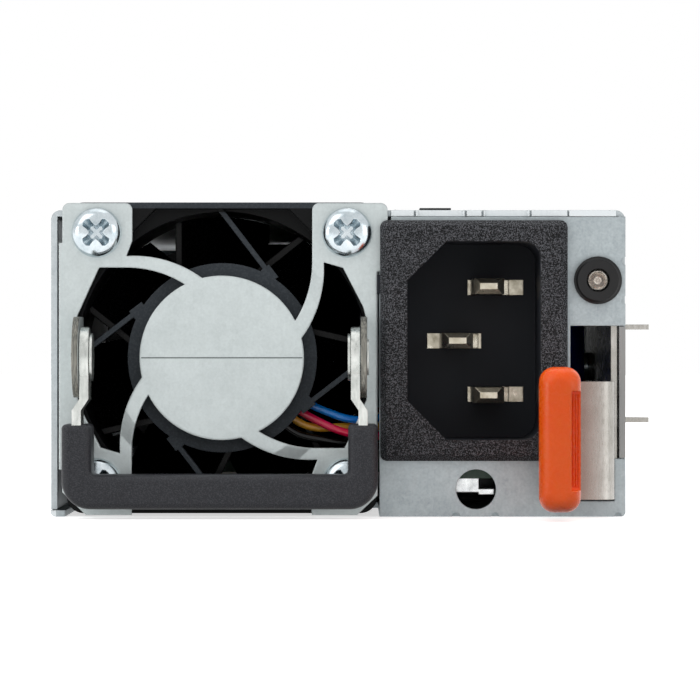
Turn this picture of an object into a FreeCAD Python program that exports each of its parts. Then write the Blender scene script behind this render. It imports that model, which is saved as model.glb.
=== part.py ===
# Hot swap server power supply: casing, fan with its guard and handle, mains inlet, latch and inner parts.
# Millimetres. +X is right and +Z is up as the front is seen; +Y runs into the unit.
# The origin is the middle of the casing's bottom face.
import FreeCAD, Part
import math
import os

import Sketcher

SIZES = {
    # casing
    "casing_width": 73.5, "casing_height": 39.2, "casing_length": 185, "sheet": 0.8, "seam": 0.05,
    "plate_top": 38.35, "plate_left": 5.3, "plate_step": 6.8, "plate_step_level": 31.2,
    "cover_low": 0.9, "cover_corner": 1.2, "rail_width": 1.85, "flange_top": 8, "lip_recess": 0.5,
    "lance_height": 0.35, "window_left": 29.7, "window_right": 35.35, "window_low": 2,
    "window_top": 24.4, "window_step": 7.4, "peep_across": 17.65, "peep_level": 3.5,
    "peep_radius": 2.55, "relief_radius": 0.5,
    # cover screws
    "screw_radius": 1.5, "sink_depth": 0.75, "cover_screw_level": 5,
    # rear vents and card edge
    "vent_radius": 1.7, "vent_pitch": 4.4, "vent_column": 3.81, "vent_low": 13.5, "vent_left": 32.4,
    "tongue_half": 24, "tongue_reach": 9, "slot_half": 26, "slot_low": 3.2, "slot_top": 8.4,
    # fan
    "fan_across": -14.85, "fan_level": 20.3, "fan_size": 39.8, "fan_depth": 28, "duct_radius": 18.8,
    "flange_depth": 3.4, "mouth_half": 19.1, "mouth_chamfer": 10.55, "mouth_depth": 2.4,
    "hub_base_radius": 12.15, "hub_base_front": 1.2, "hub_base_back": 3.7, "hub_radius": 11.7,
    "hub_bore": 10.9, "hub_front": 5.6, "hub_back": 25, "blade_tip": 18.5, "shaft_radius": 1,
    "tube_radius": 3.6, "tube_bore": 3, "screw_offset": 16, "strut_width": 0.65,
    # guard bracket and its screws
    "guard_sheet": 0.9, "guard_rise": 0.7, "ramp_outer": 16.2, "ramp_inner": 13.9, "guard_disc": 10.5,
    "spoke_outer": 15, "spoke_inner": 14, "ear_half": 5.1, "ear_inside": 17.75, "ear_outside": 18.5,
    "guard_left": 20.4, "guard_flange": 0.45, "pan_radius": 3.2, "pan_height": 2.3, "pan_ball": 4.9,
    # handle
    "pivot_ahead": 6.5, "pivot_level": 20.4, "rivet_radius": 1.5, "running_gap": 0.04,
    "strap": 1.15, "strap_half": 3, "arm_outside": 17.65, "arm_low_outside": 18.6, "eye_radius": 3.8,
    "jog_start": 5.3, "jog_end": 6.7, "bail_low": 2.85, "grip_half": 19.9, "grip_post": 3.75,
    "grip_low": 1.25, "grip_bar_top": 5.57, "grip_top": 11.96, "grip_half_depth": 3.5,
    "grip_corner": 3.6, "grip_edge": 1,
    # inlet
    "inlet_across": 17.33, "inlet_level": 22.5, "bezel_half_width": 11.95, "bezel_half_height": 15.35,
    "bezel_proud": 2.2, "bezel_corner": 0.9, "bezel_bevel": 0.7, "shell_half_width": 9.9,
    "shell_half_height": 13.5, "shell_depth": 20, "cavity_half_width": 8.5, "cavity_half_height": 12.65,
    "cavity_chamfer": 5, "cavity_corner": 2.3, "cavity_floor": 13.8, "pin_width": 4, "pin_thick": 2,
    "pin_tip": 1.5, "pin_end": 24, "pin_bevel": 0.9, "pin_offset": 2, "pin_spread": 7,
    "terminal_depth": 1.8, "terminal_gap": 1,
    # indicator
    "led_across": 33.2, "led_level": 30.2, "led_radius": 1.475, "led_ring": 3.05, "led_barrel": 2.3,
    # latch
    "strip": 0.8, "strip_outside": 35.75, "strip_low": 2.3, "strip_top": 24.6, "neck_top": 17.3,
    "neck_outside": 35.2, "strip_root": 50, "strip_end": 60, "strip_front": 1, "cross_back": 3.6,
    "blade_outside": 27.5, "blade_ahead": 16, "ear_reach": 3.4, "ear_front": 6, "ear_back": 14,
    "ear_thick": 0.65,
    "ear_low": 11.95, "cap_left": 25.25, "cap_right": 30.15, "cap_low": 1.14, "cap_top": 19.2,
    "cap_back": 5, "cap_front": 19, "cap_round": 1.7, "cap_step": 1.2,
    # main board
    "board_low": 4.8, "board_thick": 1.6, "board_half": 33, "board_front": 32, "board_end": 181,
    "foot_radius": 2.5, "lead_diameter": 1, "mains_lead_diameter": 2.2,
}


class Size:
    """A number that remembers which cells of the sheet it is worked out from."""

    def __init__(self, value, text=None):
        self.value = float(value)
        self.text = text or repr(round(float(value), 6))

    def joined(self, other, value, sign, swap=False):
        left, right = (size(other).text, self.text) if swap else (self.text, size(other).text)
        return Size(value, f"({left} {sign} {right})")

    def __add__(self, other):
        return self.joined(other, self.value + size(other).value, "+")

    def __radd__(self, other):
        return self.joined(other, self.value + size(other).value, "+", True)

    def __sub__(self, other):
        return self.joined(other, self.value - size(other).value, "-")

    def __rsub__(self, other):
        return self.joined(other, size(other).value - self.value, "-", True)

    def __mul__(self, other):
        return self.joined(other, self.value * size(other).value, "*")

    def __rmul__(self, other):
        return self.joined(other, self.value * size(other).value, "*", True)

    def __truediv__(self, other):
        return self.joined(other, self.value / size(other).value, "/")

    def __neg__(self):
        return Size(-self.value, f"(-1 * {self.text})")


def size(number):
    return number if isinstance(number, Size) else Size(number)


class Cells:
    """The sheet's sizes, read as attributes."""


doc = FreeCAD.newDocument("PowerSupply")
sheet = doc.addObject("Spreadsheet::Sheet", "Sizes")
s = Cells()
for row, (alias, number) in enumerate(SIZES.items(), 1):
    sheet.set(f"A{row}", alias)
    sheet.set(f"B{row}", str(number))
    sheet.setAlias(f"B{row}", alias)
    setattr(s, alias, Size(number, f"Sizes.{alias}"))
doc.recompute()

front, back, side = -s.casing_length / 2, s.casing_length / 2, s.casing_width / 2
inner_side = side - s.sheet
inner_top = s.casing_height - s.sheet
fan_x, fan_z = s.fan_across, s.fan_level
fan_front = front + s.guard_sheet
fan_back = fan_front + s.fan_depth
board_top = s.board_low + s.board_thick
pivot_y = front - s.pivot_ahead
nodes = []


# ---------------------------------------------------------------- building blocks

def bind(feature, **sizes):
    """Tie properties to the sheet. A double underscore stands for a dot."""
    for name, number in sizes.items():
        feature.setExpression(name.replace("__", "."), size(number).text)
    return feature


def node(name, feature):
    """Name a finished sub-part."""
    feature.Label = name
    nodes.append(feature)
    return feature


def box(name, x, y, z):
    """A box between a low and a high value along each axis."""
    solid = doc.addObject("Part::Box", name)
    return bind(solid, Length=x[1] - size(x[0]), Width=y[1] - size(y[0]), Height=z[1] - size(z[0]),
                Placement__Base__x=x[0], Placement__Base__y=y[0], Placement__Base__z=z[0])


TURNS = {"x": FreeCAD.Rotation(FreeCAD.Vector(0, 1, 0), 90),
         "y": FreeCAD.Rotation(FreeCAD.Vector(1, 0, 0), -90),
         "z": FreeCAD.Rotation()}


def along(feature, axis, centre, low):
    """Stand a round primitive along an axis, with its centre line through the other two places."""
    feature.Placement.Rotation = TURNS[axis]
    places = list(centre)
    places.insert("xyz".index(axis), low)
    return bind(feature, Placement__Base__x=places[0], Placement__Base__y=places[1],
                Placement__Base__z=places[2])


def cylinder(name, radius, axis, centre, span):
    solid = doc.addObject("Part::Cylinder", name)
    bind(solid, Radius=radius, Height=span[1] - size(span[0]))
    return along(solid, axis, centre, span[0])


def cone(name, low_radius, high_radius, axis, centre, span):
    solid = doc.addObject("Part::Cone", name)
    bind(solid, Radius1=low_radius, Radius2=high_radius, Height=span[1] - size(span[0]))
    return along(solid, axis, centre, span[0])


def fuse(name, *solids):
    joined = doc.addObject("Part::MultiFuse", name)
    joined.Shapes = list(solids)
    joined.Refine = True
    return joined


def cut(name, base, *tools):
    result = doc.addObject("Part::Cut", name)
    result.Base = base
    result.Tool = tools[0] if len(tools) == 1 else group(name + "_tools", *tools)
    return result


def common(name, *solids):
    result = doc.addObject("Part::MultiCommon", name)
    result.Shapes = list(solids)
    return result


def group(name, *solids):
    """Separate solids kept in one object."""
    compound = doc.addObject("Part::Compound", name)
    compound.Links = list(solids)
    return compound


def ring(name, outer, inner, axis, centre, span):
    return cut(name, cylinder(name + "_outer", outer, axis, centre, span),
               cylinder(name + "_inner", inner, axis, centre, span))


def rectangle(x, y):
    """The four corners of a rectangle between two low and high values."""
    return [(x[0], y[0]), (x[1], y[0]), (x[1], y[1]), (x[0], y[1])]


def draw_polygon(sketch, corners):
    """A closed outline with every corner tied to the sheet."""
    first, count = sketch.GeometryCount, len(corners)
    places = [FreeCAD.Vector(size(u).value, size(v).value, 0) for u, v in corners]
    for i in range(count):
        sketch.addGeometry(Part.LineSegment(places[i], places[(i + 1) % count]), False)
    for i in range(count):
        sketch.addConstraint(Sketcher.Constraint("Coincident", first + i, 2, first + (i + 1) % count, 1))
    for i, corner in enumerate(corners):
        for kind, number in zip(("DistanceX", "DistanceY"), corner):
            place = sketch.addConstraint(Sketcher.Constraint(kind, first + i, 1, size(number).value))
            sketch.setExpression(f"Constraints[{place}]", size(number).text)


def draw_circle(sketch, u, v, radius):
    centre = FreeCAD.Vector(size(u).value, size(v).value, 0)
    circle = Part.Circle(centre, FreeCAD.Vector(0, 0, 1), size(radius).value)
    first = sketch.addGeometry(circle, False)
    for kind, number in (("DistanceX", u), ("DistanceY", v)):
        place = sketch.addConstraint(Sketcher.Constraint(kind, first, 3, size(number).value))
        sketch.setExpression(f"Constraints[{place}]", size(number).text)
    place = sketch.addConstraint(Sketcher.Constraint("Radius", first, size(radius).value))
    sketch.setExpression(f"Constraints[{place}]", size(radius).text)


def new_body(name):
    return doc.addObject("PartDesign::Body", name)


def extrude(body, kind, plane, span, outlines):
    """Pad or pocket outlines of a plane between a low and a high value along its axis."""
    low, high = size(span[0]), size(span[1])
    starts_high = (kind == "Pad") == (plane == "XZ")
    level = high if starts_high else low
    sketch = body.newObject("Sketcher::SketchObject", body.Name + "_sketch")
    support = [item for item in body.Origin.OriginFeatures if item.Role == plane + "_Plane"][0]
    sketch.AttachmentSupport = [(support, "")]
    sketch.MapMode = "FlatFace"
    bind(sketch, AttachmentOffset__Base__z=-level if plane == "XZ" else level)
    for outline in outlines:
        if isinstance(outline, tuple):
            draw_circle(sketch, *outline)
        else:
            draw_polygon(sketch, outline)
    feature = body.newObject("PartDesign::" + kind, body.Name + "_" + kind.lower())
    feature.Profile = sketch
    bind(feature, Length=high - low)
    body.Tip = feature
    return feature


def soften(body, kind, amount, chosen):
    """Fillet or chamfer the edges of a body that a test picks by their middle and direction."""
    doc.recompute()
    base = body.Tip
    names = [f"Edge{i}" for i, edge in enumerate(base.Shape.Edges, 1)
             if chosen(edge.CenterOfMass, edge_axis(edge))]
    feature = body.newObject("PartDesign::" + kind, body.Name + "_" + kind.lower())
    feature.Base = (base, names)
    bind(feature, **{"Radius" if kind == "Fillet" else "Size": amount})
    body.Tip = feature
    return feature


def edge_axis(edge):
    """The axis that a straight edge runs along, or its kind of curve."""
    if edge.Degenerated:
        return "point"
    if not isinstance(edge.Curve, Part.Line):
        return type(edge.Curve).__name__
    way = edge.tangentAt(edge.FirstParameter)
    for name, part in zip("xyz", (way.x, way.y, way.z)):
        if abs(part) > 0.999:
            return name
    return "slanted"


def near(number, target):
    return abs(number - size(target).value) < 0.02


def routed_tube(name, points, diameter):
    """A round tube along straight runs joined by tangent arcs, with its bend radii printed."""
    places = [FreeCAD.Vector(*[size(part).value for part in point]) for point in points]
    edges, start, radii = [], places[0], []
    for i in range(1, len(places) - 1):
        before, after = places[i - 1] - places[i], places[i + 1] - places[i]
        shorter = min(before.Length, after.Length)
        before.normalize()
        after.normalize()
        half_turn = (math.pi - before.getAngle(after)) / 2
        setback = 0.45 * shorter
        radius = setback / math.tan(half_turn)
        enter, leave = places[i] + before * setback, places[i] + after * setback
        inward = (before + after).normalize()
        middle = places[i] + inward * (radius / math.cos(half_turn) - radius)
        edges += [Part.LineSegment(start, enter).toShape(), Part.Arc(enter, middle, leave).toShape()]
        start = leave
        radii.append(round(radius, 2))
    edges.append(Part.LineSegment(start, places[-1]).toShape())
    path = Part.Wire(edges)
    circle = Part.Wire([Part.Circle(places[0], places[1] - places[0], diameter / 2).toShape()])
    tube = path.makePipeShell([circle], True, True)
    wanted = math.pi * diameter ** 2 / 4 * path.Length
    print(name, "bend radii", radii, "volume", round(tube.Volume / wanted, 4), "of section x length")
    feature = doc.addObject("Part::Feature", name)
    feature.Shape = tube
    return feature


# ---------------------------------------------------------------- casing

def casing_base():
    """Floor, front plate and low side flanges, bent from one sheet."""
    body = new_body("base_body")
    rail = -side + s.rail_width
    floor = [(-side, front), (rail, front), (rail, fan_back + 1), (s.plate_left, fan_back + 1),
             (s.plate_left, front), (side, front), (side, back), (-side, back)]
    extrude(body, "Pad", "XY", (0, s.sheet), [floor])
    soften(body, "Fillet", s.sheet - 0.2,
           lambda place, way: way == "y" and near(abs(place.x), side) and near(place.z, 0))
    plate = [(s.plate_left, 0.7), (side, 0.7), (side, s.plate_top), (s.plate_step, s.plate_top),
             (s.plate_step, s.plate_step_level), (s.plate_left, s.plate_step_level)]
    extrude(body, "Pad", "XZ", (front, front + s.sheet), [plate])
    flange = inner_side - s.seam
    left = rectangle((-flange, -flange + s.sheet), (fan_back + 3, back - 2))
    right = rectangle((flange - s.sheet, flange), (front + s.strip_end + 6, back - 2))
    extrude(body, "Pad", "XY", (s.sheet / 2, s.flange_top), [left, right])
    inlet_hole = rectangle((s.inlet_across - s.shell_half_width, s.inlet_across + s.shell_half_width),
                           (s.inlet_level - s.shell_half_height, s.inlet_level + s.shell_half_height))
    window = [(s.window_left, s.window_low), (s.window_right, s.window_low),
              (s.window_right, s.window_step), (side + 1, s.window_step),
              (side + 1, s.window_top), (s.window_left, s.window_top)]
    peep = (s.peep_across, s.peep_level, s.peep_radius)
    led_hole = (s.led_across, s.led_level, s.led_barrel)
    reliefs = [(15.1, 0, s.relief_radius), (20.1, 0, s.relief_radius)]
    reliefs += [(side, 27.7, s.relief_radius), (side, 32.7, s.relief_radius),
                (side - 0.95, 0, s.relief_radius)]
    extrude(body, "Pocket", "XZ", (front - 1, front + s.sheet),
            [inlet_hole, window, peep, led_hole] + reliefs)
    for low, high, across in ((-side, -flange + 2, -50), (flange - 2, side, -15)):
        extrude(body, "Pocket", "YZ", (low, high),
                [(across, s.cover_screw_level, s.screw_radius),
                 (60, s.cover_screw_level, s.screw_radius)])
    node("casing_base", body)


def casing_cover():
    """Top and both sides as one folded sheet, cut away round the fan."""
    body = new_body("cover_body")
    top = s.casing_height
    shell = [(-side, s.cover_low), (-side, top), (side, top), (side, s.cover_low),
             (inner_side, s.cover_low), (inner_side, inner_top), (-inner_side, inner_top),
             (-inner_side, s.cover_low)]
    start = fan_front + s.seam
    extrude(body, "Pad", "XZ", (start, back), [shell])
    soften(body, "Fillet", s.cover_corner,
           lambda place, way: way == "y" and near(abs(place.x), side) and near(place.z, top))
    lip = rectangle((s.plate_step, side - s.cover_corner), (front, start + 1))
    extrude(body, "Pad", "XY", (inner_top, top), [lip])
    recesses = [rectangle((10.2, 16), (front - 1, front + s.lip_recess)),
                rectangle((18.8, 24.3), (front - 1, front + s.lip_recess))]
    recesses += [rectangle((x, x + 0.25), (front - 1, start))
                 for x in (9.7, 16.2, 18.35, 24.5, 29.3)]
    extrude(body, "Pocket", "XY", (inner_top - 0.1, top + 0.1), recesses)
    lance = rectangle((10.5, 14.5), (front + 3, front + 9))
    extrude(body, "Pad", "XY", (top - 0.2, top + s.lance_height), [lance])
    curl = (s.plate_step + 0.5, top - s.sheet / 2, 0.44)
    extrude(body, "Pad", "XZ", (front, front + 2), [curl])
    fan_notch = rectangle((-side + s.rail_width, s.plate_left), (front - 1, fan_back + 0.4))
    extrude(body, "Pocket", "XY", (inner_top - 1, top + 1), [fan_notch])
    tongue = rectangle((front, start + 0.1), (s.window_step + 0.1, s.window_top - 0.1))
    extrude(body, "Pad", "YZ", (inner_side, side), [tongue])
    slots = [rectangle((front + s.ear_front - 1.2, front + s.ear_back + 1), (low - 0.35, low + 1))
             for low in (s.ear_low, s.strip_top - s.ear_thick)]
    extrude(body, "Pocket", "YZ", (inner_side - 0.1, side + 0.1), slots)
    for low, high, across in ((-side, -inner_side, -50), (inner_side, side, -15)):
        extrude(body, "Pocket", "YZ", (low, high),
                [(across, s.cover_screw_level, s.screw_radius),
                 (60, s.cover_screw_level, s.screw_radius)])
    soften(body, "Chamfer", s.sink_depth,
           lambda place, way: way == "Circle" and near(abs(place.x), side)
           and near(place.z, s.cover_screw_level))
    node("casing_cover", body)


def cover_screws():
    """Countersunk screws, flush with the cover's sides."""
    screws = []
    for hand, across in ((-1, -50), (-1, 60), (1, -15), (1, 60)):
        name = f"cover_screw_{len(screws)}"
        centre = (across, s.cover_screw_level)
        wide = s.screw_radius + s.sink_depth
        if hand < 0:
            head = cone(name + "_head", wide, s.screw_radius, "x", centre, (-side, -side + s.sink_depth))
            shank = cylinder(name + "_shank", s.screw_radius, "x", centre, (-side, -side + 3))
            socket = cylinder(name + "_socket", 0.8, "x", centre, (-side - 0.1, -side + 0.6))
        else:
            head = cone(name + "_head", s.screw_radius, wide, "x", centre, (side - s.sink_depth, side))
            shank = cylinder(name + "_shank", s.screw_radius, "x", centre, (side - 3, side))
            socket = cylinder(name + "_socket", 0.8, "x", centre, (side - 0.6, side + 0.1))
        screws.append(cut(name, fuse(name + "_solid", head, shank), socket))
    node("cover_screws", group("cover_screw_group", *screws))


def rear_panel():
    """Rear wall with two feet on the floor, a field of round vents and the card edge's slot."""
    body = new_body("rear_body")
    wall_half = inner_side - s.seam
    wall = rectangle((-wall_half, wall_half), (s.sheet, inner_top - s.seam))
    extrude(body, "Pad", "XZ", (back - s.sheet, back), [wall])
    feet = [rectangle((x - 4, x + 4), (back - 5, back - s.sheet / 2)) for x in (-30, 30)]
    extrude(body, "Pad", "XY", (s.sheet, s.sheet * 2), feet)
    slot = rectangle((-s.slot_half, s.slot_half), (s.slot_low, s.slot_top))
    extrude(body, "Pocket", "XZ", (back - s.sheet, back), [slot])
    column = [(-s.vent_left, s.vent_low + s.vent_pitch * i, s.vent_radius) for i in range(6)]
    column += [(-s.vent_left + s.vent_column, s.vent_low + s.vent_pitch * (i + 0.5), s.vent_radius)
               for i in range(5)]
    vents = extrude(body, "Pocket", "XZ", (back - s.sheet, back), column)
    pattern = body.newObject("PartDesign::LinearPattern", "vent_pattern")
    pattern.Originals = [vents]
    pattern.Direction = (vents.Profile[0], ["H_Axis"])
    bind(pattern, Length=s.vent_column * 16)
    pattern.Occurrences = 9
    body.Tip = pattern
    node("rear_panel", body)


# ---------------------------------------------------------------- fan guard

def around(u, v, turn):
    """A place about the fan's axis, turned by quarter turns."""
    for _ in range(turn):
        u, v = -size(v), size(u)
    return u, v


def spoke(turn):
    """A curved spoke, left between two circles with different centres, from a corner to the disc."""
    name = f"spoke_{turn}"
    arcs = []
    for part, centre, radius in (("outer", (-11.3, -1.95), s.spoke_outer),
                                 ("inner", (-12.2, -2.45), s.spoke_inner)):
        u, v = around(*centre, turn)
        arcs.append(cylinder(f"{name}_{part}", radius, "y", (fan_x + u, fan_z + v),
                             (front - s.guard_rise, fan_front)))
    corners = [around(-12.3, 7.5, turn), around(-1.5, 14, turn)]
    across = sorted((corner[0] for corner in corners), key=lambda number: size(number).value)
    up = sorted((corner[1] for corner in corners), key=lambda number: size(number).value)
    limit = box(name + "_limit", (fan_x + across[0], fan_x + across[1]),
                (front - s.guard_rise, fan_front), (fan_z + up[0], fan_z + up[1]))
    return common(name, cut(name + "_crescent", *arcs), limit)


def guard_ear(hand):
    """A lug bent forward from the guard, with a round end about the handle's pivot."""
    name = "ear_right" if hand > 0 else "ear_left"
    edges = sorted((hand * s.ear_inside, hand * s.ear_outside), key=lambda number: number.value)
    across = (fan_x + edges[0], fan_x + edges[1])
    lug = box(name + "_lug", across, (pivot_y, fan_front),
              (s.pivot_level - s.ear_half, s.pivot_level + s.ear_half))
    end = cylinder(name + "_end", s.ear_half, "x", (pivot_y, s.pivot_level), across)
    hole = cylinder(name + "_hole", s.rivet_radius, "x", (pivot_y, s.pivot_level), across)
    return cut(name, fuse(name + "_solid", lug, end), hole)


def fan_guard():
    """A flat bracket whose disc is pressed a little forward, so its spokes slope near their roots."""
    body = new_body("guard_plate")
    left = s.guard_left
    outline = [(-left, 19.8), (-left, -17.2), (-17.4, -20.1), (17.3, -20.1), (19.9, -17.6),
               (19.9, 11), (21.2, 11), (21.2, 19.8)]
    extrude(body, "Pad", "XZ", (front, fan_front), [[(fan_x + u, fan_z + v) for u, v in outline]])
    half = [(-11.47, 21), (-11.47, 15), (-12.2, 13.07), (-12.2, 11.55), (-15.7, 11.55),
            (-s.ear_outside, 5.4), (-s.ear_outside, -4.9), (-18.07, -6.5), (-15.5, -11.5),
            (-13.07, -12.2), (-11.55, -12.2), (-11.55, -21)]
    window = half + [(-size(u), -v) for u, v in half]
    extrude(body, "Pocket", "XZ", (front - 1, fan_front), [[(fan_x + u, fan_z + v) for u, v in window]])
    soften(body, "Fillet", 0.9, lambda place, way: way == "y" and place.z > (fan_z + 19.7).value)
    offset = s.screw_offset
    holes = [(fan_x + u, fan_z + v, 1.9) for u in (-offset, offset) for v in (-offset, offset)]
    extrude(body, "Pocket", "XZ", (front - 1, fan_front), holes)
    crown = front - s.guard_rise
    disc = cylinder("guard_disc", s.guard_disc, "y", (fan_x, fan_z), (crown, fan_front))
    flat = fuse("guard_flat", body, disc, *[spoke(turn) for turn in range(4)])
    raised = cone("guard_raised", s.ramp_inner, s.ramp_outer, "y", (fan_x, fan_z), (crown, front))
    around_it = cylinder("guard_around", 21, "y", (fan_x, fan_z), (crown, front))
    hollow = cone("guard_hollow", s.ramp_inner, s.ramp_outer, "y", (fan_x, fan_z),
                  (fan_front - s.guard_rise, fan_front))
    scribe = box("guard_scribe", (fan_x - 10.2, fan_x + 10.2), (crown - 0.1, crown + 0.05),
                 (fan_z - 0.06, fan_z + 0.06))
    pressed = cut("guard_pressed", flat, cut("guard_waste", around_it, raised), hollow, scribe)
    side_flange = box("guard_flange", (fan_x - left - s.guard_flange, fan_x - left), (front, front + 12),
                      (6, 35))
    node("fan_guard", fuse("guard", pressed, side_flange, guard_ear(-1), guard_ear(1)))


def fan_screws():
    """Pan-head screws with a cross recess turned an eighth."""
    screws = []
    for u in (-s.screw_offset, s.screw_offset):
        for v in (-s.screw_offset, s.screw_offset):
            name = f"fan_screw_{len(screws)}"
            centre = (fan_x + u, fan_z + v)
            rim = cylinder(name + "_rim", s.pan_radius, "y", centre, (front - s.pan_height, front))
            ball = doc.addObject("Part::Sphere", name + "_ball")
            bind(ball, Radius=s.pan_ball)
            along(ball, "y", centre, front - s.pan_height + s.pan_ball)
            head = common(name + "_head", rim, ball)
            shank = cylinder(name + "_shank", 1.9, "y", centre, (front - 0.1, fan_front + 3))
            solid = fuse(name + "_solid", head, shank)
            arms = []
            for way in (45, -45):
                arm = box(f"{name}_arm_{way + 45}", (centre[0] - 2.1, centre[0] + 2.1),
                          (front - 2.4, front - 0.9), (centre[1] - 0.45, centre[1] + 0.45))
                arms.append(turned_about(arm, centre, way))
            screws.append(cut(name, solid, *arms))
    node("fan_screws", group("fan_screw_group", *screws))


def turned_about(feature, centre, angle):
    """Turn a feature about an axis along Y through a place."""
    holder = group(feature.Name + "_turned", feature)
    return spin(holder, centre, angle)


def spin(holder, centre, angle):
    """Bind a placement that turns by an angle about an axis along Y through a place."""
    holder.Placement.Rotation = FreeCAD.Rotation(FreeCAD.Vector(0, 1, 0), angle)
    cosine, sine = math.cos(math.radians(angle)), math.sin(math.radians(angle))
    x, z = size(centre[0]), size(centre[1])
    return bind(holder, Placement__Base__x=x - x * cosine - z * sine,
                Placement__Base__z=z + x * sine - z * cosine)


# ---------------------------------------------------------------- fan

def fan_frame():
    body = new_body("frame_body")
    half = s.fan_size / 2
    square = rectangle((fan_x - half, fan_x + half), (fan_z - half, fan_z + half))
    overlap = 0.1
    extrude(body, "Pad", "XZ", (fan_front, fan_front + s.flange_depth), [square])
    extrude(body, "Pad", "XZ", (fan_front + s.flange_depth - overlap, fan_back - overlap),
            [(fan_x, fan_z, half - overlap)])
    extrude(body, "Pad", "XZ", (fan_back - s.flange_depth, fan_back), [square])
    soften(body, "Fillet", 2.2, lambda place, way: way == "y" and near(abs(place.x - fan_x.value), half))
    extrude(body, "Pocket", "XZ", (fan_front - 1, fan_back + 1), [(fan_x, fan_z, s.duct_radius)])
    m, c = s.mouth_half, s.mouth_half - s.mouth_chamfer
    mouth = [(-m, -c), (-c, -m), (c, -m), (m, -c), (m, c), (c, m), (-c, m), (-m, c)]
    extrude(body, "Pocket", "XZ", (fan_front - 1, fan_front + s.mouth_depth),
            [[(fan_x + u, fan_z + v) for u, v in mouth]])
    lead_notch = rectangle((fan_x + 14.5, fan_x + 21), (fan_z - 12.3, fan_z - 7))
    extrude(body, "Pocket", "XZ", (fan_front - 1, fan_front + 6.4), [lead_notch])
    offset = s.screw_offset
    holes = [(fan_x + u, fan_z + v, 1.9) for u in (-offset, offset) for v in (-offset, offset)]
    extrude(body, "Pocket", "XZ", (fan_front - 1, fan_front + s.flange_depth + 1), holes)
    hub_span = (fan_front + s.hub_base_front, fan_front + s.hub_base_back)
    hub = cylinder("frame_hub", s.hub_base_radius, "y", (fan_x, fan_z), hub_span)
    tube = cylinder("frame_tube", s.tube_radius, "y", (fan_x, fan_z), (hub_span[0], fan_front + 21))
    bore = cylinder("frame_bore", s.tube_bore, "y", (fan_x, fan_z), (hub_span[1], fan_front + 22))
    struts = [strut(turn, hub_span) for turn in range(4)]
    node("fan_frame", cut("frame", fuse("frame_solid", body, hub, tube, *struts), bore))


def strut(turn, span):
    """A thin bar from the duct's wall to the motor's base, slanted off the radial line."""
    angle = 52.5 - 90 * turn
    u, v = around(-0.4, 19.2, turn)
    bar = box(f"strut_{turn}", (0, 11.6), span, (-s.strut_width / 2, s.strut_width / 2))
    root = box(f"strut_{turn}_root", (9.6, 11.6), span, (-s.strut_width, s.strut_width))
    holder = group(f"strut_{turn}_placed", fuse(f"strut_{turn}_solid", bar, root))
    holder.Placement.Rotation = FreeCAD.Rotation(FreeCAD.Vector(0, 1, 0), angle)
    return bind(holder, Placement__Base__x=fan_x + u, Placement__Base__z=fan_z + v)


def fan_rotor():
    """Hub cup with seven cambered blades, made about its own axis and then put in place."""
    body = new_body("rotor_body")
    hub_span = (fan_front + s.hub_front, fan_front + s.hub_back)
    extrude(body, "Pad", "XZ", hub_span, [(0, 0, s.hub_radius)])
    blade = [(-6.3, 8.2), (-3.9, 12.3), (-0.2, 17), (4.6, 23.6), (5.6, 23.6), (0.8, 17), (-3, 12.3),
             (-5.5, 8.2)]
    paddle = extrude(body, "Pad", "XY", (9, s.blade_tip + 1), [[(u, fan_front + d) for u, d in blade]])
    pattern = body.newObject("PartDesign::PolarPattern", "blade_pattern")
    pattern.Originals = [paddle]
    axis = [item for item in body.Origin.OriginFeatures if item.Role == "Y_Axis"][0]
    pattern.Axis = (axis, [""])
    pattern.Angle = 360
    pattern.Occurrences = 7
    body.Tip = pattern
    extrude(body, "Pocket", "XZ", (hub_span[0] - 1, hub_span[1] + 1), [(0, 0, s.blade_tip), (0, 0, 30)])
    extrude(body, "Pocket", "XZ", (hub_span[0] - 1, hub_span[1] - 1.2), [(0, 0, s.hub_bore)])
    extrude(body, "Pocket", "XZ", (hub_span[0], hub_span[1] + 1), [(0, 0, s.shaft_radius)])
    bind(body, Placement__Base__x=fan_x, Placement__Base__z=fan_z)
    node("fan_rotor", body)


def fan_motor():
    """Magnet, shaft, bearings, wound core and driver board inside the hub."""
    centre = (fan_x, fan_z)
    magnet = ring("magnet", s.hub_bore, s.hub_bore - 1.3, "y", centre, (fan_front + 8, fan_front + 20))
    node("fan_magnet", magnet)
    shaft = cylinder("shaft", s.shaft_radius, "y", centre, (fan_front + 4.5, fan_front + s.hub_back))
    node("fan_shaft", shaft)
    bearings = [ring(f"bearing_{i}", s.tube_bore, s.shaft_radius + s.running_gap, "y", centre,
                     (fan_front + start, fan_front + start + 2.5)) for i, start in enumerate((5, 17.5))]
    node("fan_bearings", group("bearing_pair", *bearings))
    core = ring("core", 9.2, s.tube_radius, "y", centre, (fan_front + 9, fan_front + 19))
    slots = []
    for i in range(4):
        slot = box(f"core_slot_{i}", (fan_x + 5, fan_x + 10), (fan_front + 8, fan_front + 20),
                   (fan_z - 1, fan_z + 1))
        slots.append(turned_about(slot, centre, 45 + 90 * i))
    node("fan_stator", cut("stator", core, *slots))
    board = ring("driver", 9.5, s.tube_radius, "y", centre, (fan_front + 3.8, fan_front + 4.6))
    node("fan_driver_board", board)


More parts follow.
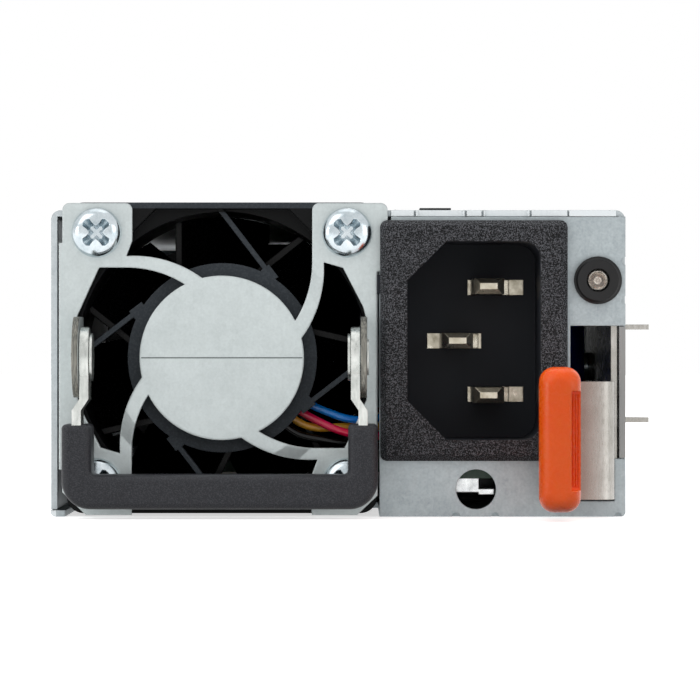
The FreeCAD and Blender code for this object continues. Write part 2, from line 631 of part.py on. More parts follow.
def fan_leads():
    """Four leads from the driver board, out through the frame's notch and back to the plug."""
    rows = (("blue", [(8.45, -4.56, 5.2), (11.9, -6.4, 5.3), (16.6, -8.2, 4.9)], 12.65, 8),
            ("yellow", [(7.27, -6.27, 5.2), (10, -8.6, 5.7), (12.6, -9.2, 5.9), (14.8, -8.9, 5.9)],
             11.35, 6.3),
            ("red", [(7.9, -5.45, 5.2), (10.9, -7.5, 5.1), (15.6, -9.8, 4.3)], 10.05, 4.6),
            ("black", [(6.5, -7.15, 5.2), (9.2, -9.9, 5.2), (14.6, -11, 5.2)], 8.75, 2.9))
    channel = s.plate_left + 0.8
    for colour, inside, level, way_in in rows:
        points = [(fan_x + u, front + d, fan_z + v) for u, v, d in inside]
        points += [(channel, front + inside[-1][2] + 0.5, level),
                   (channel + 0.2, front + 12, level + 0.1),
                   (channel, front + 22, level - 0.1),
                   (channel + 0.1, front + 31, level),
                   (way_in, front + 36.2, 9.6),
                   (way_in, front + 39, 9.6)]
        name = "fan_lead_" + colour
        node(name, routed_tube(name, points, SIZES["lead_diameter"]))


def fan_connector():
    plug = box("plug", (1.9, 8.9), (front + 39, front + 44), (7.4, 11.4))
    shroud = box("shroud", (1.1, 9.7), (front + 40, front + 48), (board_top, 12.6))
    node("fan_plug", plug)
    node("fan_socket", cut("socket", shroud, box("socket_room", (1.9, 8.9), (front + 39, front + 44),
                                                 (7.4, 11.4))))


# ---------------------------------------------------------------- handle

def handle():
    body = new_body("bail_body")
    top, strap = s.pivot_level, s.strap
    out, low_out = s.arm_outside, s.arm_low_outside
    first, last = top - s.jog_start, top - s.jog_end
    right = [(low_out, s.bail_low), (low_out, last), (out, first), (out, top), (out - strap, top),
             (out - strap, first), (low_out - strap, last), (low_out - strap, s.bail_low + strap)]
    profile = right + [(-u, v) for u, v in reversed(right)]
    extrude(body, "Pad", "XZ", (pivot_y - s.strap_half, pivot_y + s.strap_half),
            [[(fan_x + u, v) for u, v in profile]])
    eye = (pivot_y, s.pivot_level, s.eye_radius)
    for hand in (-1, 1):
        edges = sorted((hand * out, hand * (out - strap)), key=lambda number: number.value)
        extrude(body, "Pad", "YZ", (fan_x + edges[0], fan_x + edges[1]), [eye])
    extrude(body, "Pocket", "YZ", (fan_x - out - 1, fan_x + out + 1),
            [(pivot_y, s.pivot_level, s.rivet_radius + s.running_gap)])
    node("handle_bail", body)
    grip_body = new_body("grip_body")
    half, inside = s.grip_half, s.grip_half - s.grip_post
    grip = [(-half, s.grip_low), (half, s.grip_low), (half, s.grip_top), (inside, s.grip_top),
            (inside, s.grip_bar_top), (-inside, s.grip_bar_top), (-inside, s.grip_top),
            (-half, s.grip_top)]
    extrude(grip_body, "Pad", "XZ", (pivot_y - s.grip_half_depth, pivot_y + s.grip_half_depth),
            [[(fan_x + u, v) for u, v in grip]])
    soften(grip_body, "Fillet", s.grip_corner, lambda place, way: way == "y" and near(place.z, s.grip_low))
    soften(grip_body, "Fillet", 0.6, lambda place, way: way == "y" and place.z > s.grip_low.value + 4)
    soften(grip_body, "Fillet", s.grip_edge, lambda place, way: near(place.y, pivot_y - s.grip_half_depth))
    soften(grip_body, "Fillet", s.grip_edge / 2,
           lambda place, way: near(place.y, pivot_y + s.grip_half_depth))
    node("handle_grip", cut("grip", grip_body, body))
    rivets = []
    for hand in (-1, 1):
        name = f"rivet_{hand + 1}"
        spans = [(s.arm_outside - strap - 0.4, s.arm_outside - strap - 0.05, 3),
                 (s.arm_outside - strap - 0.1, s.ear_outside + 0.1, s.rivet_radius),
                 (s.ear_outside, s.ear_outside + 0.25, 2.3)]
        pieces = []
        for i, (low, high, radius) in enumerate(spans):
            ends = sorted((hand * low, hand * high), key=lambda number: number.value)
            pieces.append(cylinder(f"{name}_{i}", radius, "x", (pivot_y, s.pivot_level),
                                   (fan_x + ends[0], fan_x + ends[1])))
        rivets.append(fuse(name, *pieces))
    node("handle_rivets", group("rivet_pair", *rivets))


# ---------------------------------------------------------------- inlet and indicator

def inlet():
    x, z = s.inlet_across, s.inlet_level
    body = new_body("inlet_shell")
    bezel = rectangle((x - s.bezel_half_width, x + s.bezel_half_width),
                      (z - s.bezel_half_height, z + s.bezel_half_height))
    extrude(body, "Pad", "XZ", (front - s.bezel_proud, front), [bezel])
    soften(body, "Fillet", s.bezel_corner, lambda place, way: way == "y")
    soften(body, "Chamfer", s.bezel_bevel, lambda place, way: near(place.y, front - s.bezel_proud))
    shell = rectangle((x - s.shell_half_width, x + s.shell_half_width),
                      (z - s.shell_half_height, z + s.shell_half_height))
    extrude(body, "Pad", "XZ", (front - 0.1, front + s.shell_depth), [shell])
    snap = rectangle((x - s.bezel_half_width - 0.4, x - s.bezel_half_width + 0.2), (28.5, 30.9))
    extrude(body, "Pad", "XZ", (front - 0.7, front), [snap])
    w, tall, chamfer = s.cavity_half_width, s.cavity_half_height, s.cavity_chamfer
    cavity = [(x - w + chamfer, z - tall), (x + w, z - tall), (x + w, z + tall),
              (x - w + chamfer, z + tall), (x - w, z + tall - chamfer), (x - w, z - tall + chamfer)]
    extrude(body, "Pocket", "XZ", (front - s.bezel_proud, front + s.cavity_floor), [cavity])
    soften(body, "Fillet", s.cavity_corner,
           lambda place, way: way == "y" and near(place.x, x + w) and near(abs(place.z - z.value), tall))
    floor = front + s.cavity_floor
    half = s.pin_width / 2
    pins = (("line", s.pin_offset, s.pin_spread, (-half - 0.4, 4.9)),
            ("neutral", s.pin_offset, -s.pin_spread, (-half - 0.4, 4.9)),
            ("earth", -s.pin_offset, 0, (-3.7, 3.4)))
    blades = [pin_outline(across, rise, (-half, half)) for name, across, rise, reach in pins]
    terminals = [pin_outline(across, rise, reach) for name, across, rise, reach in pins]
    extrude(body, "Pocket", "XZ", (floor - 1, floor + s.terminal_depth), terminals)
    extrude(body, "Pocket", "XZ", (floor - 1, front + s.shell_depth + 1), blades)
    node("inlet_socket", body)
    for (name, across, rise, reach), terminal, blade in zip(pins, terminals, blades):
        pin = new_body(name + "_pin_body")
        extrude(pin, "Pad", "XZ", (floor, floor + s.terminal_depth), [terminal])
        slit = pin_outline(across, rise, (half, half + s.terminal_gap), 1)
        extrude(pin, "Pocket", "XZ", (floor - 1, floor + s.terminal_gap), [slit])
        extrude(pin, "Pad", "XZ", (front + s.pin_tip, front + s.pin_end), [blade])
        soften(pin, "Chamfer", s.pin_bevel,
               lambda place, way: way == "z" and near(place.y, front + s.pin_tip))
        soften(pin, "Chamfer", s.pin_bevel * 0.7,
               lambda place, way: way == "x" and near(place.y, front + s.pin_tip))
        node(name + "_pin", pin)


def pin_outline(across, rise, reach, grow=0):
    """The outline of a pin or its terminal, as its reach to the left and right of the pin's middle."""
    x, z = s.inlet_across + across, s.inlet_level + rise
    half = s.pin_thick / 2 + grow
    return rectangle((x + reach[0], x + reach[1]), (z - half, z + half))


def mains_leads():
    """The line, neutral and earth leads from the pins' tails down to the board."""
    x, z, tail = s.inlet_across, s.inlet_level, front + s.pin_end
    rows = (("line", x + s.pin_offset, z + s.pin_spread, 20.8, 38),
            ("earth", x - s.pin_offset, z, 14.4, 35.5),
            ("neutral", x + s.pin_offset, z - s.pin_spread, 18.2, 34.5))
    for name, across, level, way_in, depth in rows:
        points = [(across, tail, level), (across, tail + 5, level),
                  (way_in, front + depth - 0.6, level - 4),
                  (way_in, front + depth, board_top + 2.6), (way_in, front + depth, board_top)]
        node(name + "_lead", routed_tube(name + "_wire", points, SIZES["mains_lead_diameter"]))


def indicator():
    x, z = s.led_across, s.led_level
    collar = cylinder("collar", s.led_ring, "y", (x, z), (front - 1.3, front))
    barrel = cylinder("barrel", s.led_barrel, "y", (x, z), (front - 0.5, front + 4))
    bore = cylinder("barrel_bore", s.led_radius, "y", (x, z), (front - 2, front + 5))
    rim = doc.addObject("Part::Torus", "collar_rim")
    bind(rim, Radius1=s.led_ring + 0.05, Radius2=0.5)
    along(rim, "y", (x, z), front - 1.45)
    node("led_holder", cut("holder", fuse("holder_solid", collar, barrel), bore, rim))
    stem = cylinder("led_stem", s.led_radius, "y", (x, z), (front - 0.5, front + 5))
    dome = doc.addObject("Part::Ellipsoid", "led_dome")
    bind(dome, Radius1=0.55, Radius2=s.led_radius, Radius3=s.led_radius)
    along(dome, "y", (x, z), front - 0.5)
    flange = cylinder("led_flange", s.led_radius + 0.35, "y", (x, z), (front + 4, front + 5))
    node("status_led", fuse("led", stem, dome, flange))
    leads = []
    for name, rise, way_in in (("led_lead_plus", 0.6, 32.3), ("led_lead_minus", -0.6, 31.2)):
        points = [(x, front + 5, z + rise), (x, front + 14, z + rise),
                  (way_in, front + 38, z + rise), (way_in, front + 49, z - 2 + rise),
                  (way_in, front + 52, 18), (way_in, front + 52, board_top)]
        leads.append(routed_tube(name, points, 0.6))
    node("led_leads", group("led_lead_pair", *leads))


# ---------------------------------------------------------------- latch

def latch():
    body = new_body("strip_body")
    out, inside = s.neck_outside, s.neck_outside - s.strip
    cross, inner = front - s.cross_back, s.blade_outside - s.strip
    neck = [(out, front + s.strip_front + 3), (out, cross - s.strip), (s.blade_outside, cross - s.strip),
            (s.blade_outside, front - s.blade_ahead), (inner, front - s.blade_ahead), (inner, cross),
            (inside, cross), (inside, front + s.strip_front + 3)]
    extrude(body, "Pad", "XY", (s.strip_low, s.neck_top), [neck])
    soften(body, "Fillet", 1.2, lambda place, way: way == "z" and (
        (near(place.x, inside) and near(place.y, cross))
        or (near(place.x, s.blade_outside) and near(place.y, cross - s.strip))))
    soften(body, "Fillet", 2, lambda place, way: way == "z" and (
        (near(place.x, out) and near(place.y, cross - s.strip))
        or (near(place.x, inner) and near(place.y, cross))))
    out, inside = s.strip_outside, s.strip_outside - s.strip
    rear = rectangle((inside, out), (front + s.strip_front, front + s.strip_root - s.seam))
    extrude(body, "Pad", "XY", (s.strip_low, s.strip_top), [rear])
    tip = side + s.ear_reach
    ear = [(inside, front + s.ear_front), (tip, front + s.ear_front + 0.2),
           (tip, front + s.ear_front + 1.2), (inside + 0.4, front + s.ear_back)]
    for low in (s.ear_low, s.strip_top - s.ear_thick):
        extrude(body, "Pad", "XY", (low, low + s.ear_thick), [ear])
    node("latch_strip", body)
    foot = new_body("foot_body")
    pad = rectangle((inside, out), (front + s.strip_root, front + s.strip_end))
    extrude(foot, "Pad", "XY", (s.strip_low, s.strip_top), [pad])
    holes = [(front + s.strip_end - 6, level, 1.2) for level in (8, 19)]
    extrude(foot, "Pocket", "YZ", (inside - 1, out + 1), holes)
    node("latch_foot", foot)
    cap = new_body("cap_body")
    outline = rectangle((s.cap_left, s.cap_right), (s.cap_low, s.cap_top))
    extrude(cap, "Pad", "XZ", (front - s.cap_front, front - s.cap_back), [outline])
    soften(cap, "Fillet", s.cap_round, lambda place, way: way == "y")
    soften(cap, "Fillet", s.cap_round - 0.1, lambda place, way: near(place.y, front - s.cap_front))
    step = rectangle((s.cap_right - s.cap_step, s.cap_right + 1), (3.9, 16.2))
    extrude(cap, "Pocket", "XZ", (front - s.cap_front - 1, front - s.cap_front + 1.9), [step])
    node("latch_cap", cut("cap", cap, body))
    rivets = []
    for i, level in enumerate((8, 19)):
        centre = (front + s.strip_end - 6, level)
        head = cylinder(f"latch_rivet_{i}_head", 2, "x", centre, (inside - 0.7, inside))
        shank = cylinder(f"latch_rivet_{i}_shank", 1.2, "x", centre, (inside - 0.1, inner_side))
        collar = cylinder(f"latch_rivet_{i}_collar", 2, "x", centre, (out, inner_side))
        rivets.append(fuse(f"latch_rivet_{i}", head, shank, collar))
    node("latch_rivets", group("latch_rivet_pair", *rivets))


# ---------------------------------------------------------------- main board and what it carries

FEET = ((-29, 37), (29, 47.5), (-29, 172), (29, 172), (12.5, 30))


def main_board():
    body = new_body("board_body")
    half, start = s.board_half, front + s.board_front
    outline = [(-half, start), (7.2, start), (7.2, front + 3), (29.4, front + 3), (29.4, start),
               (half, start), (half, front + s.board_end), (s.tongue_half, front + s.board_end),
               (s.tongue_half, back + s.tongue_reach), (-s.tongue_half, back + s.tongue_reach),
               (-s.tongue_half, front + s.board_end), (-half, front + s.board_end)]
    extrude(body, "Pad", "XY", (s.board_low, board_top), [outline])
    extrude(body, "Pocket", "XY", (s.board_low - 1, board_top), [(x, front + d, 1.5) for x, d in FEET])
    node("main_board", body)
    fingers = []
    for row, (low, high) in enumerate(((s.board_low - 0.05, s.board_low), (board_top, board_top + 0.05))):
        for i in range(24):
            x = -22.425 + 1.95 * i
            fingers.append(box(f"finger_{row}_{i}", (x - 0.6, x + 0.6),
                               (back + 1.5, back + s.tongue_reach - 0.4), (low, high)))
    node("edge_contacts", group("finger_group", *fingers))
    feet, screws = [], []
    for i, (x, depth) in enumerate(FEET):
        centre = (x, front + depth)
        feet.append(ring(f"foot_{i}", s.foot_radius, 1.5, "z", centre, (s.sheet, s.board_low)))
        head = cylinder(f"board_screw_{i}_head", 2.7, "z", centre, (board_top, board_top + 1.8))
        shank = cylinder(f"board_screw_{i}_shank", 1.5, "z", centre, (1.6, board_top))
        recess = box(f"board_screw_{i}_recess", (x - 1.5, x + 1.5),
                     (front + depth - 0.4, front + depth + 0.4), (board_top + 0.9, board_top + 2))
        screws.append(cut(f"board_screw_{i}", fuse(f"board_screw_{i}_solid", head, shank), recess))
    node("board_feet", group("feet_group", *feet))
    node("board_screws", group("board_screw_group", *screws))
    sheet_body = new_body("insulator_body")
    film = rectangle((-32.5, 32.5), (front + 33, back - 9))
    extrude(sheet_body, "Pad", "XY", (s.sheet, s.sheet + 0.3),
            [film] + [(x, front + d, s.foot_radius) for x, d in FEET[:4]])
    node("insulator_film", sheet_body)
    tall = box("lug_tall", (15.1, 18.1), (front + 4, front + 9), (3, s.board_low))
    short = box("lug_short", (18.1, 20.1), (front + 4, front + 9), (2.7, 3.4))
    node("earth_lug", fuse("lug", tall, short))


def upright_can(name, x, depth, radius, height):
    """A standing round can with a crimped groove near its foot and a scored top."""
    centre = (x, front + depth)
    can = cylinder(name + "_can", radius, "z", centre, (board_top, board_top + height))
    crimp = doc.addObject("Part::Torus", name + "_crimp")
    bind(crimp, Radius1=radius + 0.1, Radius2=0.5)
    along(crimp, "z", centre, board_top + 2)
    score = box(name + "_score", (x - 0.7 * radius, x + 0.7 * radius),
                (front + depth - 0.15, front + depth + 0.15), (board_top + height - 0.2, board_top + height))
    return cut(name, can, crimp, score)


def toroid(name, x, depth, ring_radius, wire_radius, level):
    """A wound ring core, with its turns as narrow bands."""
    core = doc.addObject("Part::Torus", name + "_core")
    bind(core, Radius1=ring_radius, Radius2=wire_radius)
    along(core, "z", (x, front + depth), level)
    bands = []
    for i in range(14):
        angle = 2 * math.pi * i / 14
        band = doc.addObject("Part::Torus", f"{name}_band_{i}")
        bind(band, Radius1=wire_radius, Radius2=0.55)
        band.Placement.Rotation = FreeCAD.Rotation(FreeCAD.Vector(math.cos(angle), math.sin(angle), 0), 90)
        bind(band, Placement__Base__x=x + ring_radius * math.cos(angle),
             Placement__Base__y=front + depth + ring_radius * math.sin(angle), Placement__Base__z=level)
        bands.append(band)
    return fuse(name, core, *bands)


def filter_parts():
    """What the mains passes first: fuse, filter capacitors, chokes, bridge and relay."""
    node("filter_capacitor", upright_can("filter_can", 28.4, 39, 5.2, 20))
    tube = cylinder("fuse_tube", 2.4, "x", (front + 51.5, 9.2), (5, 21))
    caps = [cylinder(f"fuse_cap_{i}", 2.7, "x", (front + 51.5, 9.2), span)
            for i, span in enumerate(((3, 8), (18, 23)))]
    node("fuse", fuse("fuse_solid", tube, *caps))
    node("box_capacitor", rounded_block("box_capacitor_body", (24.5, 32), (56, 74), 15, 0.8))
    node("line_choke", toroid("line_choke_ring", 13.5, 66, 6.6, 3, board_top + 3.6))
    node("relay", rounded_block("relay_body", (21, 32), (78, 97), 15, 0.5))
    node("bridge_rectifier", rounded_block("bridge_body", (8, 12), (76, 98), 18, 0.5))
    can = cylinder("bulk_can", 14.5, "y", (-17.5, board_top + 14.7), (front + 40, front + 84))
    groove = doc.addObject("Part::Torus", "bulk_crimp")
    bind(groove, Radius1=14.7, Radius2=0.8)
    along(groove, "y", (-17.5, board_top + 14.7), front + 80)
    node("bulk_capacitor", cut("bulk", can, groove))
    node("boost_choke", toroid("boost_choke_ring", -16, 102, 9, 4.2, board_top + 4.9))


def rounded_block(name, x, depths, height, radius):
    """A moulded block on the board with softened upright and top edges."""
    body = new_body(name)
    extrude(body, "Pad", "XY", (board_top, board_top + height),
            [rectangle(x, (front + depths[0], front + depths[1]))])
    soften(body, "Fillet", radius, lambda place, way: place.z > board_top.value + 0.5)
    return body


def heatsink(name, x, depths, fins_to, count):
    """An upright plate with fins to one side."""
    body = new_body(name)
    low, high = front + depths[0], front + depths[1]
    outline = [(x, low), (x + 2, low)]
    pitch = (high - low) / count
    for i in range(count):
        start = low + pitch * i
        outline += [(x + 2, start + pitch * 0.6), (x + fins_to, start + pitch * 0.6),
                    (x + fins_to, start + pitch * 0.9), (x + 2, start + pitch * 0.9)]
    outline += [(x + 2, high), (x, high)]
    extrude(body, "Pad", "XY", (board_top + 2, inner_top - 4), [outline])
    extrude(body, "Pad", "XY", (board_top, board_top + 3), [rectangle((x, x + 2), (low, low + 4)),
                                                            rectangle((x, x + 2), (high - 4, high))])
    return body


def power_parts():
    """Switching, transformer and output parts."""
    node("primary_heatsink", heatsink("primary_fins", 3, (104, 134), 9, 7))
    node("output_heatsink", heatsink("output_fins", 20, (138, 162), 9, 6))
    transistors = [rounded_block(f"transistor_{i}", (-1.6, 3), (105 + 10 * i, 114 + 10 * i), 18, 0.4)
                   for i in range(3)]
    node("primary_transistors", group("transistor_group", *transistors))
    rectifiers = [rounded_block(f"rectifier_{i}", (15.4, 20), (139 + 11 * i, 149 + 11 * i), 18, 0.4)
                  for i in range(2)]
    node("output_transistors", group("rectifier_group", *rectifiers))
    x, low, high = (-30, 0), front + 138, front + 164
    legs = [box("core_back", x, (low, high), (board_top, board_top + 5)),
            box("core_top", x, (low, high), (board_top + 21, board_top + 26)),
            box("core_left", (-30, -25), (low, high), (board_top, board_top + 26)),
            box("core_right", (-5, 0), (low, high), (board_top, board_top + 26))]
    post = cylinder("core_post", 5, "z", (-15, (low + high) / 2), (board_top, board_top + 26))
    node("transformer_core", fuse("transformer", post, *legs))
    winding = ring("winding", 9.5, 5, "z", (-15, (low + high) / 2), (board_top + 5, board_top + 21))
    node("transformer_winding", winding)
    node("output_choke", rounded_block("output_choke_body", (2, 13), (140, 158), 13, 0.8))
    cans = [upright_can(f"output_can_{i}", -21.5 + 8.6 * i, 171, 4, 14) for i in range(6)]
    node("output_capacitors", group("output_can_group", *cans))
    card = box("card", (-31.4, -30.2), (front + 90, front + 134), (board_top, 33))
    chips = [box(f"chip_{i}", (-30.2, -28.8), (front + 95 + 14 * i, front + 102 + 14 * i), (22, 28))
             for i in range(3)]
    node("control_card", card)
    node("control_chips", group("chip_group", *chips))


casing_base()
casing_cover()
cover_screws()
rear_panel()
fan_guard()
fan_screws()
fan_frame()
fan_rotor()
fan_motor()
fan_leads()
fan_connector()
handle()
inlet()
mains_leads()
indicator()
latch()
main_board()
filter_parts()
power_parts()
doc.recompute()

for item in doc.Objects:
    if "Invalid" in item.State or "Error" in item.State:
        raise SystemExit(f"{item.Label} did not build: {item.State}")
for sub_part in nodes:
    if sub_part.Shape.isNull() or not sub_part.Shape.isValid():
        raise SystemExit(f"{sub_part.Label} has no valid shape")
os.makedirs("parts", exist_ok=True)
for sub_part in nodes:
    sub_part.Shape.exportStep(f"parts/{sub_part.Label}.step")
    print(sub_part.Label, "solids", len(sub_part.Shape.Solids), "volume", round(sub_part.Shape.Volume, 1))
print("nodes", len(nodes))
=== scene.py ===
# Hot swap server power supply: finishes, added detail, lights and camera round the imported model.
import math

import bmesh
import bpy
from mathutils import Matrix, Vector


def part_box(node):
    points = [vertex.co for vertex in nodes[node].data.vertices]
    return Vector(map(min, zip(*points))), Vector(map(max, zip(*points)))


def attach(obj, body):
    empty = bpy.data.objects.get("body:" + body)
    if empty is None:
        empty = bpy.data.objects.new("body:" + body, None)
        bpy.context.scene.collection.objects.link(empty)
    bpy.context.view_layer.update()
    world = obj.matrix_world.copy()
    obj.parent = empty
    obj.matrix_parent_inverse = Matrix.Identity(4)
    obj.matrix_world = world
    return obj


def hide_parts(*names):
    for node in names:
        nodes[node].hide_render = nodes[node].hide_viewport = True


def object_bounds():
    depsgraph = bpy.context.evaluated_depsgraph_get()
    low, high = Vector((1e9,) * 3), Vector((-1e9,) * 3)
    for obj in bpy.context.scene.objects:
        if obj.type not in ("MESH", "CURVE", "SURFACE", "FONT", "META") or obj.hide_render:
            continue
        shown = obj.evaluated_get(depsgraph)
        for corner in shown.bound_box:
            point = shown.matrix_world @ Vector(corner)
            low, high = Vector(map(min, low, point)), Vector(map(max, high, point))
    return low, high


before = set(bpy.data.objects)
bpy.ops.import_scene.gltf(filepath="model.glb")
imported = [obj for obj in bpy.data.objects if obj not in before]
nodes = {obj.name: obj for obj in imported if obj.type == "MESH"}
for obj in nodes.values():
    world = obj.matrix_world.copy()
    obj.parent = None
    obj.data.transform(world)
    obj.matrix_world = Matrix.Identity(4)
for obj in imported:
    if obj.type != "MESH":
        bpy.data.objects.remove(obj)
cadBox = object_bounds()
mm = 0.001
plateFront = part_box("casing_base")[0].y
fanLow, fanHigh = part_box("fan_frame")
fanX, fanZ = (fanLow.x + fanHigh.x) / 2, (fanLow.z + fanHigh.z) / 2
coverTop = 39.2 * mm  # the cover's flat top, just under its lanced strip


# Colours and node trees

def linear(code):
    # sRGB hex to linear RGBA
    parts = [int(code[i:i + 2], 16) / 255 for i in (1, 3, 5)]
    return tuple(p / 12.92 if p <= 0.04045 else ((p + 0.055) / 1.055) ** 2.4 for p in parts) + (1.0,)


def addNode(tree, kind, links=None, **settings):
    # one node with its settings, its inputs set to a value or fed by a node or a socket
    made = tree.nodes.new("ShaderNode" + kind)
    for name, value in settings.items():
        setattr(made, name, value)
    for socket, value in (links or {}).items():
        if isinstance(value, bpy.types.Node):
            value = next(output for output in value.outputs if output.enabled)
        if isinstance(value, bpy.types.NodeSocket):
            tree.links.new(value, made.inputs[socket])
        else:
            made.inputs[socket].default_value = value
    return made


def perMetre(millimetres):
    # a texture's scale that repeats about once in this many millimetres
    return 1 / (millimetres * mm)


def startMaterial(name):
    material = bpy.data.materials.new(name)
    material.use_nodes = True
    material.node_tree.nodes.clear()
    place = addNode(material.node_tree, "TexCoord").outputs["Object"]
    return material, material.node_tree, place


def finishMaterial(material, shader, height, depth, edge=0.1):
    # relief of this depth over edges rounded by this much, both in millimetres
    tree = material.node_tree
    rounded = addNode(tree, "Bevel", {"Radius": edge * mm}, samples=4)
    relief = addNode(tree, "Bump", {"Height": height, "Distance": depth * mm, "Normal": rounded})
    tree.links.new(relief.outputs[0], shader.inputs["Normal"])
    addNode(tree, "OutputMaterial", {"Surface": shader})
    return material


def behindPlate(tree, place, depth):
    # 1 where the surface lies more than this many millimetres behind the front plate's face
    apart = addNode(tree, "SeparateXYZ", {"Vector": place})
    return addNode(tree, "Math", {0: apart.outputs["Y"], 1: plateFront + depth * mm},
                   operation="GREATER_THAN")


noiseSpan = {"From Min": 0.3, "From Max": 0.7}  # where nearly all of a noise texture's values lie


# Metals. Sizes in these dictionaries are in millimetres, and shares and tones run from 0 to 1

zincSheet = {"cloud": 5, "cloudShare": 0.4, "spangle": 0.8, "spangleShare": 0.1, "grain": 0.3,
             "grainShare": 0.3, "rollLine": 0.35, "rollStretch": 0.08, "rollShare": 0.3, "lift": 0.18,
             "shadeAt": 0.5, "zincAt": 0.95, "smoother": 0.05, "duller": 0.08, "relief": 0.008}


# the marks hook may add painted highlights, shade and reflection as well as real marks
def galvanisedSteel(name, zinc, shade, roughness, marksAndLight=None, edge=0.12):
    # Hot-dip galvanised sheet, skin-passed: pale blue-grey zinc, softly mottled, with faint rolling lines.
    # The lines and the grain are drawn coarser than they are, so that they show.
    material, tree, place = startMaterial(name)
    cloud = addNode(tree, "TexNoise", {"Vector": place, "Scale": perMetre(zincSheet["cloud"]), "Detail": 5,
                                       "Roughness": 0.65})
    spangle = addNode(tree, "TexVoronoi", {"Vector": place, "Scale": perMetre(zincSheet["spangle"])})
    drawn = addNode(tree, "Mapping", {"Vector": place, "Scale": (1, 1, zincSheet["rollStretch"])})
    rolled = addNode(tree, "TexNoise", {"Vector": drawn, "Scale": perMetre(zincSheet["rollLine"]),
                                        "Detail": 3})
    grain = addNode(tree, "TexNoise", {"Vector": place, "Scale": perMetre(zincSheet["grain"]), "Detail": 2})
    tone = zincSheet["lift"]
    for pattern, share in ((cloud, "cloudShare"), (spangle.outputs["Color"], "spangleShare"),
                           (grain, "grainShare"), (rolled, "rollShare")):
        tone = addNode(tree, "Math", {0: pattern, 1: zincSheet[share], 2: tone}, operation="MULTIPLY_ADD")
    tone = addNode(tree, "MapRange", {"Value": tone, "From Min": zincSheet["shadeAt"],
                                      "From Max": zincSheet["zincAt"]})
    colour = addNode(tree, "Mix", {0: tone, 6: linear(shade), 7: linear(zinc)}, data_type="RGBA")
    if marksAndLight:
        colour = marksAndLight(tree, place, colour)
    dull = addNode(tree, "MapRange", {"Value": rolled, **noiseSpan, "To Min": roughness - zincSheet["smoother"],
                                      "To Max": roughness + zincSheet["duller"]})
    shader = addNode(tree, "BsdfPrincipled", {"Base Color": colour, "Metallic": 1.0, "Roughness": dull})
    return finishMaterial(material, shader, grain, zincSheet["relief"], edge)


# the bare steel tones of the sheared edges are made darker with painted shade
guardWearAndShade = {"streak": 0.14, "streakStretch": (1, 0.3, 0.03), "bareDark": "#5d5e5a", "bareLight": "#8e8c84",
             "facingWithin": 0.6, "aheadOf": -0.9, "scribeHalfWidth": 0.075, "scribeReach": 10.3,
             "scribe": "#6b7272"}


def guardMarksAndShade(tree, place, zinc):
    # the ears' sheared edges show bare brown-grey steel, painted darker with shade, and a line is scribed
    # across the disc
    drawn = addNode(tree, "Mapping", {"Vector": place, "Scale": guardWearAndShade["streakStretch"]})
    streaks = addNode(tree, "TexNoise", {"Vector": drawn, "Scale": perMetre(guardWearAndShade["streak"]), "Detail": 2})
    streaks = addNode(tree, "MapRange", {"Value": streaks, "From Min": 0.35, "From Max": 0.65})
    bareShaded = addNode(tree, "Mix", {0: streaks, 6: linear(guardWearAndShade["bareDark"]),
                                 7: linear(guardWearAndShade["bareLight"])}, data_type="RGBA")
    facing = addNode(tree, "TexCoord").outputs["Normal"]
    facing = addNode(tree, "SeparateXYZ", {"Vector": facing})
    flat = addNode(tree, "Math", {0: facing, 1: 0.0, 2: guardWearAndShade["facingWithin"]}, operation="COMPARE")
    behind = behindPlate(tree, place, guardWearAndShade["aheadOf"])
    ahead = addNode(tree, "Math", {0: 1.0, 1: behind}, operation="SUBTRACT")
    sheared = addNode(tree, "Math", {0: flat, 1: ahead}, operation="MULTIPLY")
    edged = addNode(tree, "Mix", {0: sheared, 6: zinc, 7: bareShaded}, data_type="RGBA")
    apart = addNode(tree, "SeparateXYZ", {"Vector": place})
    level = addNode(tree, "Math", {0: apart.outputs["Z"], 1: fanZ, 2: guardWearAndShade["scribeHalfWidth"] * mm},
                    operation="COMPARE")
    onDisc = addNode(tree, "Math", {0: apart.outputs["X"], 1: fanX, 2: guardWearAndShade["scribeReach"] * mm},
                     operation="COMPARE")
    scribed = addNode(tree, "Math", {0: level, 1: onDisc}, operation="MULTIPLY")
    return addNode(tree, "Mix", {0: scribed, 6: edged, 7: linear(guardWearAndShade["scribe"])}, data_type="RGBA")


# the bend colour is a painted highlight; the cut edge colour is the cut edge darkened with painted shade
coverWearAndLight = {"bendDepth": 0.5, "bendHeight": 1.5, "bend": "#d4d9db", "cutEdgeFrom": 35.9, "windowTop": 24.7,
             "shadedCutEdge": "#8d8d8c", "stripRise": 0.02, "uprightBelow": 0.5, "sheared": "#3b3d3d"}


